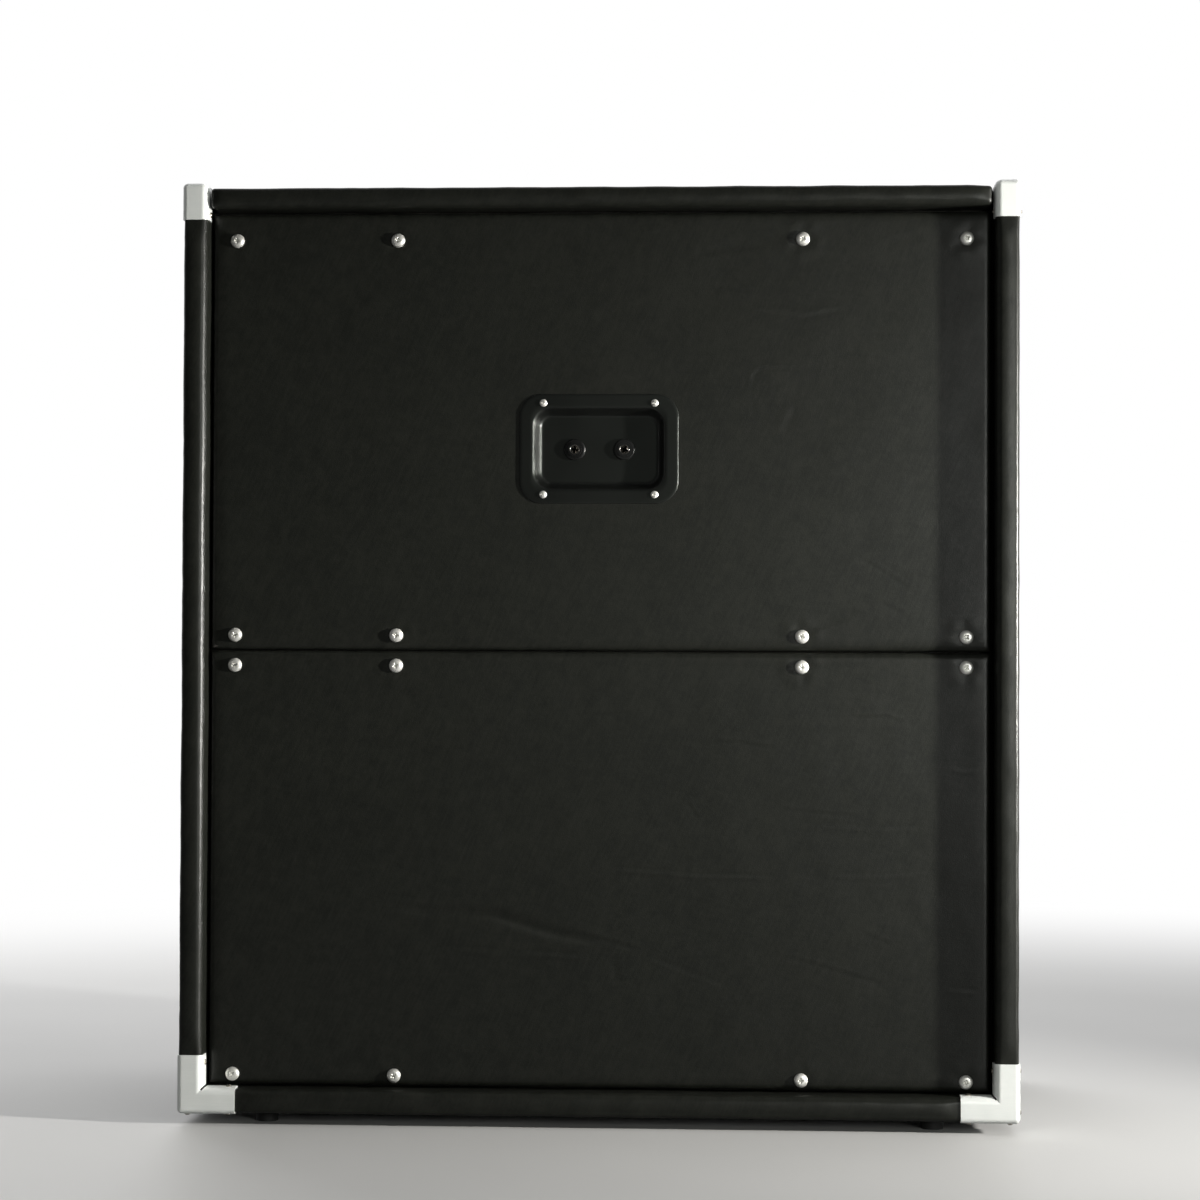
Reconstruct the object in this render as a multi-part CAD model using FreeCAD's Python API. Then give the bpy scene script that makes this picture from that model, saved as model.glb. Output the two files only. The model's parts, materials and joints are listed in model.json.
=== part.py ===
import FreeCAD, Part
import math
import os

from FreeCAD import Placement, Rotation, Vector

# Guitar speaker cabinet with a closed back and four loudspeakers.
# Millimetres. +Z is up, the rear with the jacks faces -Y, the grille faces +Y.
# Left and right are as seen from the rear, so left is -X.
# The origin is on the floor, under the middle of the case.

# Case, sizes over the covering
case_width = 714.0
case_height = 795.0
case_depth = 360.0
board = 18.0
skin = 1.0
outer_round = 3.0
inner_round = 5.0
top_end_gap = 3.2
top_board = 15.3
roof_drop = 3.2

# Rubber feet
foot_height = 11.0
foot_width = 19.0
foot_top_width = 21.0
foot_from_side = 71.0
foot_from_end = 36.0
foot_well_width = 10.0
foot_floor = 4.0

# Back boards
back_recess = 18.0
back_board = 15.0
back_gap = 2.0
seam_gap = 1.0
seam_drop = 2.0
back_round = 4.0
top_row_drop = 24.0
seam_row_inset = 12.5
bottom_row_rise = 9.0
screw_column_inset = 21.5
inner_column_share = 0.555

# Cleats, centre rail and post
cleat_depth = 22.0
top_cleat_height = 40.0
bottom_cleat_height = 24.0
side_cleat_width = 24.0
rail_height = 60.0
post_width = 40.0
baffle_cleat = 14.0

# Baffle and grille
grille_recess = 18.0
cloth = 1.0
grille_bar = 10.0
grille_bar_width = 34.0
grille_gap = 3.0
pad = 2.0
pad_width = 24.0
pad_length = 44.0
pad_from_end = 68.0
baffle = 18.0

# Screws: head width, head height, shank width, length, cross width
back_screw = (12.0, 3.6, 5.0, 34.0, 1.5)
dish_screw = (6.4, 2.0, 3.2, 13.0, 0.9)
corner_screw = (5.0, 1.8, 2.6, 10.0, 0.8)
handle_screw = (7.0, 2.2, 3.4, 15.0, 1.0)
speaker_screw = (9.5, 3.0, 4.8, 18.0, 1.2)
foot_screw = (8.6, 2.6, 4.0, 18.0, 1.1)
screw_play = 0.1
cross_depth_share = 0.55
cross_length_share = 0.56
head_rim_share = 0.3

# Metal corners
plate = 1.2
corner_arm = 50.0
corner_leg = 22.0
corner_inner_leg = 15.0
cap_drop = 31.5
corner_screw_near = 8.2
corner_screw_end = 6.8
cap_screw_end = 5.4
side_screw_share = 0.55
under_screw_share = 0.27
inner_screw_share = 0.62
notch_width = 1.6
notch_length = 11.0
notch_bite = 1.5
mitre_angle = 45.0

# Jack dish
dish_mouth_width = 110.0
dish_mouth_height = 68.0
dish_mouth_round = 14.0
dish_flange_across = 13.3
dish_flange_up = 13.1
dish_round = 19.5
dish_slope_across = 2.9
dish_slope_up = 3.6
dish_floor_round = 11.0
dish_depth = 11.0
dish_sheet = 1.2
dish_bend = 3.0
dish_from_seam = 173.5
dish_hole_play = 0.8
rim_round_share = 0.3
dish_screw_in_across = 20.5
dish_screw_in_up = 7.8

# Jacks
jack_spacing = 42.8
jack_bore = 6.5
jack_bush = 12.0
jack_bush_reach = 3.6
jack_body = 16.0
jack_body_length = 26.0
jack_body_round = 1.0
jack_end_wall = 3.0
jack_nut_width = 18.2
jack_nut_height = 2.6
jack_nut_round = 1.0
jack_play = 0.1
jack_sleeve_wall = 0.6
jack_sleeve_length = 9.0
lug = 0.8
lug_width = 3.0
lug_length = 7.0
lug_spacing = 8.0

# Side handles
handle_mouth_width = 164.0
handle_mouth_height = 104.0
handle_mouth_round = 20.0
handle_flange = 16.0
handle_round = 24.0
handle_slope_across = 10.0
handle_slope_up = 9.0
handle_floor_round = 16.0
handle_depth = 46.0
handle_sheet = 2.5
handle_bend = 5.0
handle_hole_play = 0.8
grip_width = 19.0
grip_sink = 12.5
grip_drop = 25.0
handle_screw_inset = 9.0

# Loudspeakers, the distances named stand are behind the baffle's rear face
speaker_share = 0.917
speaker_place_share = 0.482
hole_margin = 13.0
gasket = 3.0
gasket_width = 8.5
basket_sheet = 2.0
flange_width = 16.0
basket_rear_width = 190.0
basket_stand = 75.0
basket_windows = 6
window_turn_share = 0.5
window_front_share = 0.16
window_rear_share = 0.86
window_width = 74.0
spider_stand = 61.0
spider_width = 128.0
spider_seat = 6.0
spider_wave = 1.6
spider_waves = 6
cone_sheet = 1.0
cone_margin = 31.0
cone_bulge = 7.0
neck_stand = 55.0
surround_wave = 1.6
surround_waves = 3
soft_play = 0.3
cap_width = 84.0
cap_rise = 15.0
coil_bore = 44.4
coil_former = 0.4
coil_wire = 0.5
coil_length = 10.0
former_length = 40.0
front_plate_width = 150.0
front_plate = 8.0
gap_width = 47.4
pole_width = 43.2
pole_vent = 14.0
magnet_width = 156.0
magnet_bore = 92.0
magnet = 20.0
yoke_plate = 8.0
bolt_inset = 6.5
bolts = 4
bolt_turn_share = 0.5
strip_length = 34.0
strip_width = 13.0
strip = 3.0
tab = 0.8
tab_width = 6.0
tab_length = 9.0
tab_spacing = 18.0
strip_angle = 45.0

# Leads inside the case, and their points as shares of the way from a lug to a tab
lead_width = 4.0
lead_bend_share = 0.45
upper_lead_shares = [
    (0.0, 0.16, 0.0),
    (0.18, 0.33, 0.09),
    (0.46, 0.48, 0.33),
    (0.76, 0.61, 0.67),
    (0.97, 0.78, 0.94),
]
lower_lead_shares = [
    (0.0, 0.13, 0.0),
    (0.18, 0.28, 0.07),
    (0.46, 0.36, 0.21),
    (0.66, 0.4, 0.39),
    (0.82, 0.45, 0.58),
    (0.92, 0.52, 0.75),
    (0.99, 0.64, 0.9),
    (1.0, 0.81, 0.975),
]

# How far cuts run past what they cut, and the slack in finding an edge
overrun = 2.0
slack = 0.001

wall = board + 2 * skin
half_width = case_width / 2
half_depth = case_depth / 2
base_z = foot_height
top_z = base_z + case_height
roof_z = top_z - roof_drop
core_half = half_width - skin - board
core_low = base_z + skin + board
core_high = roof_z - skin - top_board
ceiling_z = core_high - skin
mid_z = (core_low + core_high) / 2
seam_z = mid_z - seam_drop
back_face = -half_depth + back_recess
cleat_face = back_face + skin + back_board
rail_face = cleat_face + cleat_depth
cloth_face = half_depth - grille_recess
baffle_front = cloth_face - cloth - grille_bar - pad
baffle_rear = baffle_front - baffle
panel_half = half_width - wall - back_gap
inner_half_height = (core_high - core_low) / 2
speaker_width = speaker_share * min(core_half, inner_half_height)
speaker_across = speaker_place_share * core_half
speaker_up = speaker_place_share * inner_half_height
speaker_hole = speaker_width - 2 * hole_margin
gasket_bore = speaker_width - 2 * gasket_width
flange_bore = speaker_width - 2 * flange_width
cone_width = speaker_width - 2 * cone_margin
bolt_circle = speaker_width - 2 * bolt_inset
dish_z = seam_z + dish_from_seam

UP = Vector(0, 0, 1)
DOWN = Vector(0, 0, -1)
RIGHT = Vector(1, 0, 0)
LEFT = Vector(-1, 0, 0)
FRONT = Vector(0, 1, 0)
REAR = Vector(0, -1, 0)


def box(x, y, z):
    """A block between the low and high place on each axis."""
    low = Vector(x[0], y[0], z[0])
    return Part.makeBox(x[1] - x[0], y[1] - y[0], z[1] - z[0], low)


def edges_at(shape, x=None, y=None, z=None):
    """The edges that lie wholly on the planes that are given."""
    found = []
    for edge in shape.Edges:
        bound = edge.BoundBox
        ends = ((x, bound.XMin, bound.XMax), (y, bound.YMin, bound.YMax), (z, bound.ZMin, bound.ZMax))
        if all(p is None or (abs(low - p) < slack and abs(high - p) < slack) for p, low, high in ends):
            found.append(edge)
    return found


def mirrored(shape, normal):
    """A copy on the other side of the middle plane."""
    return shape.mirror(Vector(0, 0, 0), normal)


def aimed(shape, point, direction):
    """A copy whose own +Z points along the direction, with its zero at the point."""
    copy = shape.copy()
    copy.Placement = Placement(point, Rotation(UP, direction))
    return copy


def rod(width, length, point, direction):
    """A round bar from the point, along the direction."""
    return Part.makeCylinder(width / 2, length, point, direction)


def spin(outline):
    """A solid turned about +Z from the edges or the (radius, height) points of its section."""
    if not hasattr(outline[0], "Curve"):
        corners = [Vector(r, 0, z) for r, z in outline]
        outline = [Part.makeLine(a, b) for a, b in zip(corners, corners[1:] + corners[:1])]
    return Part.Face(Part.Wire(outline)).revolve(Vector(0, 0, 0), UP, 360)


def round_rectangle(width, height, corner, z):
    """A closed wire, a rectangle with round corners, at the height z."""
    sheet = Part.makePlane(width, height, Vector(-width / 2, -height / 2, z))
    block = sheet.extrude(UP * corner)
    uprights = [e for e in block.Edges if e.BoundBox.ZLength > slack]
    rounded = block.makeFillet(corner, uprights)
    faces = [f for f in rounded.Faces if f.BoundBox.ZLength < slack and abs(f.CenterOfMass.z - z) < slack]
    return faces[0].OuterWire


def save(name, *solids):
    """Writes one node and says what it holds."""
    shape = solids[0] if len(solids) == 1 else Part.makeCompound(list(solids))
    if not shape.isValid():
        print("not valid:", name)
    print(f"{name}: {len(shape.Solids)} solids, {shape.Volume / 1000:.1f} cm3")
    shape.exportStep(f"parts/{name}.step")


# Screws


def screw(sizes):
    """A domed screw with a cross recess; its head sits on its own zero and the shank points down."""
    head, height, shank, length, cross = sizes
    rim = height * head_rim_share
    section = [
        Part.makeLine(Vector(0, 0, -length), Vector(shank / 2, 0, -length + shank)),
        Part.makeLine(Vector(shank / 2, 0, -length + shank), Vector(shank / 2, 0, 0)),
        Part.makeLine(Vector(shank / 2, 0, 0), Vector(head / 2, 0, 0)),
        Part.makeLine(Vector(head / 2, 0, 0), Vector(head / 2, 0, rim)),
        dome(head / 2, rim, height),
        Part.makeLine(Vector(0, 0, height), Vector(0, 0, -length)),
    ]
    solid = spin(section)
    reach = head * cross_length_share / 2
    floor = height * (1 - cross_depth_share)
    bars = [
        box((-reach, reach), (-cross / 2, cross / 2), (floor, height + overrun)),
        box((-cross / 2, cross / 2), (-reach, reach), (floor, height + overrun)),
    ]
    return solid.cut(bars[0].fuse(bars[1]))


def dome(radius, rim, height):
    """The arc of a domed head's section, from its rim to its top."""
    ball = (radius ** 2 + (height - rim) ** 2) / (2 * (height - rim))
    turn = math.asin(radius / ball) / 2
    middle = Vector(ball * math.sin(turn), 0, height - ball + ball * math.cos(turn))
    return Part.Arc(Vector(radius, 0, rim), middle, Vector(0, 0, height)).toShape()


def screws(sizes, places):
    """One screw at each place, given as the point under its head and the way the head faces."""
    one = screw(sizes)
    return [aimed(one, point, facing) for point, facing in places]


def holes(sizes, places):
    """What the screws' shanks need cut away."""
    width = sizes[2] + 2 * screw_play
    length = sizes[3] + screw_play
    return [rod(width, length + overrun, point + facing * overrun, facing * -1) for point, facing in places]


def drilled(shape, cutters):
    """The shape with the cutters that reach it taken away."""
    near = [c for c in cutters if c.BoundBox.intersect(shape.BoundBox)]
    return shape.cut(near) if near else shape


# Case boards and their covering


def side_block(grow):
    """The right side board, larger all round by grow, with its edges rounded."""
    inner = half_width - wall - grow
    outer = half_width + grow
    rear = -half_depth - grow
    front = half_depth + grow
    low = base_z - grow
    high = top_z + grow
    block = box((inner, outer), (rear, front), (low, high))
    hard = edges_at(block, x=outer)
    for y in (rear, front):
        for z in (low, high):
            hard += edges_at(block, y=y, z=z)
    block = block.makeFillet(outer_round + grow, hard)
    soft = edges_at(block, x=inner, y=rear) + edges_at(block, x=inner, y=front)
    return block.makeFillet(inner_round + grow, soft)


def top_block(grow):
    """The top board between the sides, larger all round by grow."""
    end = half_width - wall - top_end_gap + grow
    rear = -half_depth - grow
    front = half_depth + grow
    low = ceiling_z - grow
    high = roof_z + grow
    block = box((-end, end), (rear, front), (low, high))
    hard = edges_at(block, z=high)
    for x in (-end, end):
        for y in (rear, front):
            hard += edges_at(block, x=x, y=y)
    block = block.makeFillet(outer_round + grow, hard)
    soft = edges_at(block, y=rear, z=low) + edges_at(block, y=front, z=low)
    return block.makeFillet(inner_round + grow, soft)


def bottom_block(grow):
    """The bottom board between the sides, its section larger all round by grow."""
    end = half_width - wall
    rear = -half_depth - grow
    front = half_depth + grow
    low = base_z - grow
    high = base_z + wall + grow
    block = box((-end, end), (rear, front), (low, high))
    hard = edges_at(block, y=rear, z=low) + edges_at(block, y=front, z=low)
    block = block.makeFillet(outer_round + grow, hard)
    soft = edges_at(block, y=rear, z=high) + edges_at(block, y=front, z=high)
    return block.makeFillet(inner_round + grow, soft)


def inside_y():
    """The stretch of the case's depth where bare boards meet, clear of the turned-in covering."""
    return (cleat_face, baffle_front)


def joint_bar(low, high):
    """The stretch of a top or bottom board that reaches the bare side boards."""
    return box((-core_half, core_half), inside_y(), (low, high))


def side_parts(cutters):
    """The right side board and its covering."""
    core = side_block(-skin)
    covering = side_block(0).cut(core)
    bare = box((half_width - wall - overrun, core_half), inside_y(), (base_z - overrun, top_z + overrun))
    covering = covering.cut(bare)
    return drilled(core, cutters), drilled(covering, cutters)


def top_parts():
    """The top board and its covering."""
    core = top_block(-skin).fuse(joint_bar(core_high, roof_z - skin)).removeSplitter()
    envelope = top_block(0).fuse(joint_bar(core_high, roof_z))
    under = box((-half_width, half_width), inside_y(), (core_high - wall, core_high))
    return core, envelope.cut(core).cut(under)


def bottom_parts(cutters):
    """The bottom board and its covering."""
    core = bottom_block(-skin).fuse(joint_bar(base_z + skin, core_low)).removeSplitter()
    envelope = bottom_block(0).fuse(joint_bar(base_z, core_low))
    above = box((-half_width, half_width), inside_y(), (core_low, core_low + wall))
    covering = envelope.cut(core).cut(above)
    return drilled(core, cutters), drilled(covering, cutters)


# Metal corners, made for the lower and upper right rear of the case


def upright_channel(grow, low, high):
    """The rounded rear edge of the right side board, between two heights."""
    inner = half_width - wall - grow
    outer = half_width + grow
    rear = -half_depth - grow
    return inner, outer, rear, box((inner, outer), (rear, -half_depth + corner_leg), (low, high))


def corner_body(grow, arm):
    """The right side board's and the bottom board's rear edges, joined in an L."""
    low = base_z - grow
    inner, outer, rear, upright = upright_channel(grow, low, base_z - plate + arm)
    hard = edges_at(upright, x=outer, y=rear) + edges_at(upright, x=outer, z=low)
    hard += edges_at(upright, y=rear, z=low)
    upright = upright.makeFillet(outer_round + grow, hard)
    upright = upright.makeFillet(inner_round + grow, edges_at(upright, x=inner, y=rear))
    high = base_z + wall + grow
    left = half_width + plate - arm
    level = box((left, outer), (rear, -half_depth + corner_leg), (low, high))
    hard = edges_at(level, x=outer, y=rear) + edges_at(level, x=outer, z=low)
    hard += edges_at(level, y=rear, z=low)
    level = level.makeFillet(outer_round + grow, hard)
    level = level.makeFillet(inner_round + grow, edges_at(level, y=rear, z=high))
    return upright.fuse(level)


def lower_corner():
    """An L of sheet metal round both boards' edges, with a slit where its inner legs meet."""
    metal = corner_body(plate, corner_arm).cut(corner_body(0, corner_arm + overrun))
    metal = metal.common(box(
        (half_width + plate - corner_arm, half_width + plate),
        (-half_depth - plate, -half_depth + corner_leg - slack),
        (base_z - plate, base_z - plate + corner_arm),
    ))
    short = box(
        (half_width - corner_arm, half_width - wall),
        (-half_depth + corner_inner_leg, -half_depth + corner_leg),
        (base_z + wall, base_z + corner_arm),
    )
    slit = box((-notch_length, notch_length), (0, corner_leg), (-notch_width / 2, notch_width / 2))
    across = Rotation(FRONT, mitre_angle)
    crook = Vector(half_width - wall, -half_depth - plate - overrun, base_z + wall)
    reach = across.multVec(LEFT * (notch_length - notch_bite))
    slit.Placement = Placement(crook + reach, across)
    return metal.cut(short).cut(slit)


def upper_cap():
    """A straight sheet metal cap round the top of the right side board's rear edge."""
    layers = []
    low = top_z + plate - cap_drop
    for grow, foot in ((plate, low), (0, low - overrun)):
        high = top_z + grow
        inner, outer, rear, block = upright_channel(grow, foot, high)
        hard = edges_at(block, x=outer, y=rear) + edges_at(block, x=outer, z=high)
        hard += edges_at(block, y=rear, z=high)
        block = block.makeFillet(outer_round + grow, hard)
        layers.append(block.makeFillet(inner_round + grow, edges_at(block, x=inner, y=rear)))
    metal = layers[0].cut(layers[1])
    short = box(
        (half_width - wall - plate - overrun, half_width - wall),
        (-half_depth + corner_inner_leg, -half_depth + corner_leg + overrun),
        (low - overrun, top_z + plate + overrun),
    )
    return metal.cut(short)


def lower_corner_places():
    """Under the heads of the screws of the lower right rear corner."""
    side_y = -half_depth + corner_leg * side_screw_share
    under_y = -half_depth + corner_leg * under_screw_share
    inner_y = -half_depth + corner_inner_leg * inner_screw_share
    outer_x = half_width + plate
    low = base_z - plate
    far_x = outer_x - corner_arm + corner_screw_end
    far_z = low + corner_arm - corner_screw_end
    return [
        (Vector(outer_x, side_y, low + corner_screw_near), RIGHT),
        (Vector(outer_x, side_y, far_z), RIGHT),
        (Vector(outer_x - corner_screw_near, under_y, low), DOWN),
        (Vector(far_x, under_y, low), DOWN),
        (Vector(half_width - wall - plate, inner_y, far_z), LEFT),
        (Vector(far_x, inner_y, base_z + wall + plate), UP),
    ]


def upper_cap_places():
    """Under the heads of the screws of the upper right rear cap."""
    z = top_z + plate - cap_drop + cap_screw_end
    side_y = -half_depth + corner_leg * side_screw_share
    inner_y = -half_depth + corner_inner_leg * inner_screw_share
    return [
        (Vector(half_width + plate, side_y, z), RIGHT),
        (Vector(half_width - wall - plate, inner_y, z), LEFT),
    ]


def four_ways(solid):
    """The right rear solid and its three mirror images, named by their place."""
    right_front = mirrored(solid, FRONT)
    return {
        "rear_right": solid,
        "rear_left": mirrored(solid, RIGHT),
        "front_right": right_front,
        "front_left": mirrored(right_front, RIGHT),
    }


def four_places(places):
    """The same screw places at all four corners of the case."""
    spread = []
    for point, facing in places:
        for sx in (1, -1):
            for sy in (1, -1):
                spread.append((
                    Vector(point.x * sx, point.y * sy, point.z),
                    Vector(facing.x * sx, facing.y * sy, facing.z),
                ))
    return spread


# Back boards, cleats, rail and post


def back_span(upper):
    """The low and high edge of a covered back board."""
    if upper:
        return (seam_z + seam_gap / 2, ceiling_z - back_gap)
    return (base_z + wall + back_gap, seam_z - seam_gap / 2)


def back_places():
    """Under the heads of the sixteen back screws."""
    outer = panel_half - screw_column_inset
    columns = (-outer, -outer * inner_column_share, outer * inner_column_share, outer)
    upper = back_span(True)
    lower = back_span(False)
    rows = (
        upper[1] - top_row_drop,
        upper[0] + seam_row_inset,
        lower[1] - seam_row_inset,
        lower[0] + bottom_row_rise,
    )
    return [(Vector(x, back_face, z), REAR) for z in rows for x in columns]


def back_parts(upper, cutters):
    """A back board and its covering, which wraps the rear face and the edges."""
    low, high = back_span(upper)
    envelope = box((-panel_half, panel_half), (back_face, cleat_face), (low, high))
    envelope = envelope.makeFillet(back_round, edges_at(envelope, y=back_face))
    core = box(
        (-panel_half + skin, panel_half - skin),
        (back_face + skin, cleat_face),
        (low + skin, high - skin),
    )
    core = core.makeFillet(back_round - skin, edges_at(core, y=back_face + skin))
    return drilled(core, cutters), drilled(envelope.cut(core), cutters)


def back_cleats(cutters):
    """Strips round the rear opening that the back boards seat on."""
    deep = (cleat_face, rail_face)
    high = core_high - top_cleat_height
    low = core_low + bottom_cleat_height
    strips = [
        box((-core_half, core_half), deep, (high, core_high)),
        box((-core_half, core_half), deep, (core_low, low)),
    ]
    for span in ((low, seam_z - rail_height / 2), (seam_z + rail_height / 2, high)):
        strips.append(box((core_half - side_cleat_width, core_half), deep, span))
        strips.append(box((-core_half, -core_half + side_cleat_width), deep, span))
    return [drilled(s, cutters) for s in strips]


def centre_rail(cutters):
    """The rail behind the seam of the back boards."""
    span = (seam_z - rail_height / 2, seam_z + rail_height / 2)
    return drilled(box((-core_half, core_half), (cleat_face, rail_face), span), cutters)


def centre_post():
    """The post that ties the rail to the baffle."""
    half = post_width / 2
    return box((-half, half), (rail_face, baffle_rear), (seam_z - half, seam_z + half))


# Baffle and grille


def speaker_centres():
    """The loudspeakers' names and the middles of their holes at the baffle's rear face."""
    spots = []
    for row, up in (("upper", 1), ("lower", -1)):
        for hand, across in (("left", -1), ("right", 1)):
            spots.append((
                f"{row}_{hand}",
                Vector(across * speaker_across, baffle_rear, mid_z + up * speaker_up),
                across,
                up,
            ))
    return spots


def baffle_board(cutters):
    """The board that carries the loudspeakers."""
    solid = box((-core_half, core_half), (baffle_rear, baffle_front), (core_low, core_high))
    for _, centre, _, _ in speaker_centres():
        mouth = centre + REAR * overrun
        solid = solid.cut(rod(speaker_hole, baffle + 2 * overrun, mouth, FRONT))
    return drilled(solid, cutters)


def baffle_cleats():
    """Strips behind the baffle's edges."""
    deep = (baffle_rear - baffle_cleat, baffle_rear)
    high = core_high - baffle_cleat
    low = core_low + baffle_cleat
    return [
        box((-core_half, core_half), deep, (high, core_high)),
        box((-core_half, core_half), deep, (core_low, low)),
        box((core_half - baffle_cleat, core_half), deep, (low, high)),
        box((-core_half, -core_half + baffle_cleat), deep, (low, high)),
    ]


def grille_edges(inset):
    """The grille's half width, low edge and high edge, drawn in by inset."""
    half = half_width - wall - grille_gap - inset
    low = base_z + wall + grille_gap + inset
    high = ceiling_z - grille_gap - inset
    return half, low, high


def grille_frame():
    """A flat frame with one upright in the middle."""
    half, low, high = grille_edges(cloth)
    deep = (baffle_front + pad, cloth_face - cloth)
    solid = box((-half, half), deep, (low, high))
    gap = (low + grille_bar_width, high - grille_bar_width)
    through = (deep[0] - overrun, deep[1] + overrun)
    mullion = grille_bar_width / 2
    for side in (-1, 1):
        edges = sorted((side * mullion, side * (half - grille_bar_width)))
        solid = solid.cut(box(edges, through, gap))
    return solid


def grille_cloth():
    """The cloth over the frame's face and round its edges."""
    half, low, high = grille_edges(0)
    inner_half, inner_low, inner_high = grille_edges(cloth)
    rear = baffle_front + pad
    tray = box((-half, half), (rear, cloth_face), (low, high))
    room = box((-inner_half, inner_half), (rear - overrun, cloth_face - cloth), (inner_low, inner_high))
    return tray.cut(room)


def grille_pads():
    """Hook-and-loop pads between the grille frame and the baffle."""
    half, low, high = grille_edges(cloth)
    deep = (baffle_front, baffle_front + pad)
    inset = grille_bar_width / 2
    pads = []
    for x in (-half + inset, half - inset):
        for z in (low + pad_from_end, mid_z, high - pad_from_end):
            pads.append(box(
                (x - pad_width / 2, x + pad_width / 2),
                deep,
                (z - pad_length / 2, z + pad_length / 2),
            ))
    return pads


# Dishes, jacks and handles


jack_mouth = (dish_mouth_width, dish_mouth_height, dish_mouth_round)
jack_rim = (dish_mouth_width + 2 * dish_flange_across, dish_mouth_height + 2 * dish_flange_up, dish_round)
jack_floor = (
    dish_mouth_width - 2 * dish_slope_across,
    dish_mouth_height - 2 * dish_slope_up,
    dish_floor_round,
)
handle_mouth = (handle_mouth_width, handle_mouth_height, handle_mouth_round)
handle_rim = (handle_mouth_width + 2 * handle_flange, handle_mouth_height + 2 * handle_flange, handle_round)
handle_floor = (
    handle_mouth_width - 2 * handle_slope_across,
    handle_mouth_height - 2 * handle_slope_up,
    handle_floor_round,
)


def dish_cavity(mouth, floor, low, high, bend):
    """The hollow of a dish between its floor and its mouth, with a round floor edge."""
    rings = [round_rectangle(*floor, low), round_rectangle(*mouth, high)]
    hollow = Part.makeLoft(rings, True, True)
    return hollow.makeFillet(bend, edges_at(hollow, z=low))


def grown(size, by):
    """A width, height and corner, all made larger by the same margin all round."""
    return (size[0] + 2 * by, size[1] + 2 * by, size[2] + by)


def dish(rim, mouth, floor, depth, sheet, bend):
    """A dish on its own axes: the rim lies on z = 0 and faces +Z, the hollow goes down."""
    flange = Part.Face(round_rectangle(*rim, 0)).extrude(UP * sheet)
    flange = flange.makeFillet(sheet * rim_round_share, edges_at(flange, z=sheet))
    outside = dish_cavity(grown(mouth, sheet), grown(floor, sheet), -depth, 0, bend + sheet)
    hollow = dish_cavity(mouth, floor, sheet - depth, sheet, bend)
    above = Part.Face(round_rectangle(*mouth, sheet)).extrude(UP * overrun)
    solid = flange.fuse(outside).cut(hollow.fuse(above)).removeSplitter()
    solid = solid.makeFillet(bend - sheet, mouth_edges(solid, grown(mouth, sheet), 0))
    return solid.makeFillet(bend, mouth_edges(solid, mouth, sheet)), hollow


def mouth_edges(shape, mouth, z):
    """The edges round a dish's mouth at one height, without the rim's own."""
    found = []
    for edge in edges_at(shape, z=z):
        bound = edge.BoundBox
        wide = max(abs(bound.XMin), abs(bound.XMax))
        tall = max(abs(bound.YMin), abs(bound.YMax))
        if wide <= mouth[0] / 2 + slack and tall <= mouth[1] / 2 + slack:
            found.append(edge)
    return found


def dish_hole(mouth, bend, play, through):
    """What a dish needs cut from the board behind its rim, on the dish's own axes."""
    ring_face = Part.Face(round_rectangle(*grown(mouth, bend + play), -through - overrun))
    return ring_face.extrude(UP * (through + 2 * overrun))


def face_rear(shape, point):
    """A copy that faces the rear, with its own +Y kept upright."""
    copy = shape.copy()
    copy.Placement = Placement(point, Rotation(RIGHT, 90))
    return copy


def face_rear_all(solids, point):
    """Copies of several solids that share one set of axes, turned to the rear together."""
    turn = Placement(point, Rotation(RIGHT, 90))
    copies = []
    for solid in solids:
        copy = solid.copy()
        copy.Placement = turn.multiply(solid.Placement)
        copies.append(copy)
    return copies


def face_right(shape, point):
    """A copy that faces right, with its own +Y kept upright."""
    copy = shape.copy()
    copy.Placement = Placement(point, Rotation(Vector(1, 1, 1), 120))
    return copy


def dish_places():
    """Under the heads of the jack dish's screws."""
    y = back_face - dish_sheet
    places = []
    across = jack_rim[0] / 2 - dish_screw_in_across
    up = jack_rim[1] / 2 - dish_screw_in_up
    for x in (-across, across):
        for z in (-up, up):
            places.append((Vector(x, y, dish_z + z), REAR))
    return places


def jack_spots():
    """The jacks' names and the middles of their holes on the dish floor's outer face."""
    y = back_face + dish_depth - dish_sheet
    return [
        ("left", Vector(-jack_spacing / 2, y, dish_z)),
        ("right", Vector(jack_spacing / 2, y, dish_z)),
    ]


def jack_dish(cutters):
    """The pressed steel dish with its holes for screws and jacks."""
    solid, _ = dish(jack_rim, jack_mouth, jack_floor, dish_depth, dish_sheet, dish_bend)
    solid = face_rear(solid, Vector(0, back_face, dish_z))
    bush_hole = jack_bush + 2 * jack_play
    drills = [rod(bush_hole, dish_sheet + 2 * overrun, p + REAR * overrun, FRONT) for _, p in jack_spots()]
    return drilled(solid, cutters + drills)


def jack(spot):
    """A jack's body with its threaded bush, and the metal sleeve in its mouth."""
    half = jack_body / 2
    seat = spot.y + dish_sheet
    deep = (seat, seat + jack_body_length)
    body = box((spot.x - half, spot.x + half), deep, (spot.z - half, spot.z + half))
    body = body.makeFillet(jack_body_round, edges_at(body, y=deep[1]))
    mouth = spot + REAR * jack_bush_reach
    bush_length = jack_bush_reach + dish_sheet
    body = body.fuse(rod(jack_bush, bush_length + overrun, mouth, FRONT)).removeSplitter()
    bore_length = bush_length + jack_body_length - jack_end_wall
    body = body.cut(rod(jack_bore, bore_length + overrun, mouth + REAR * overrun, FRONT))
    seat_width = jack_bore + 2 * jack_sleeve_wall
    body = body.cut(rod(seat_width, jack_sleeve_length + overrun, mouth + REAR * overrun, FRONT))
    sleeve = rod(seat_width, jack_sleeve_length, mouth, FRONT)
    sleeve = sleeve.cut(rod(jack_bore, jack_sleeve_length + 2 * overrun, mouth + REAR * overrun, FRONT))
    return body, sleeve


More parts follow.
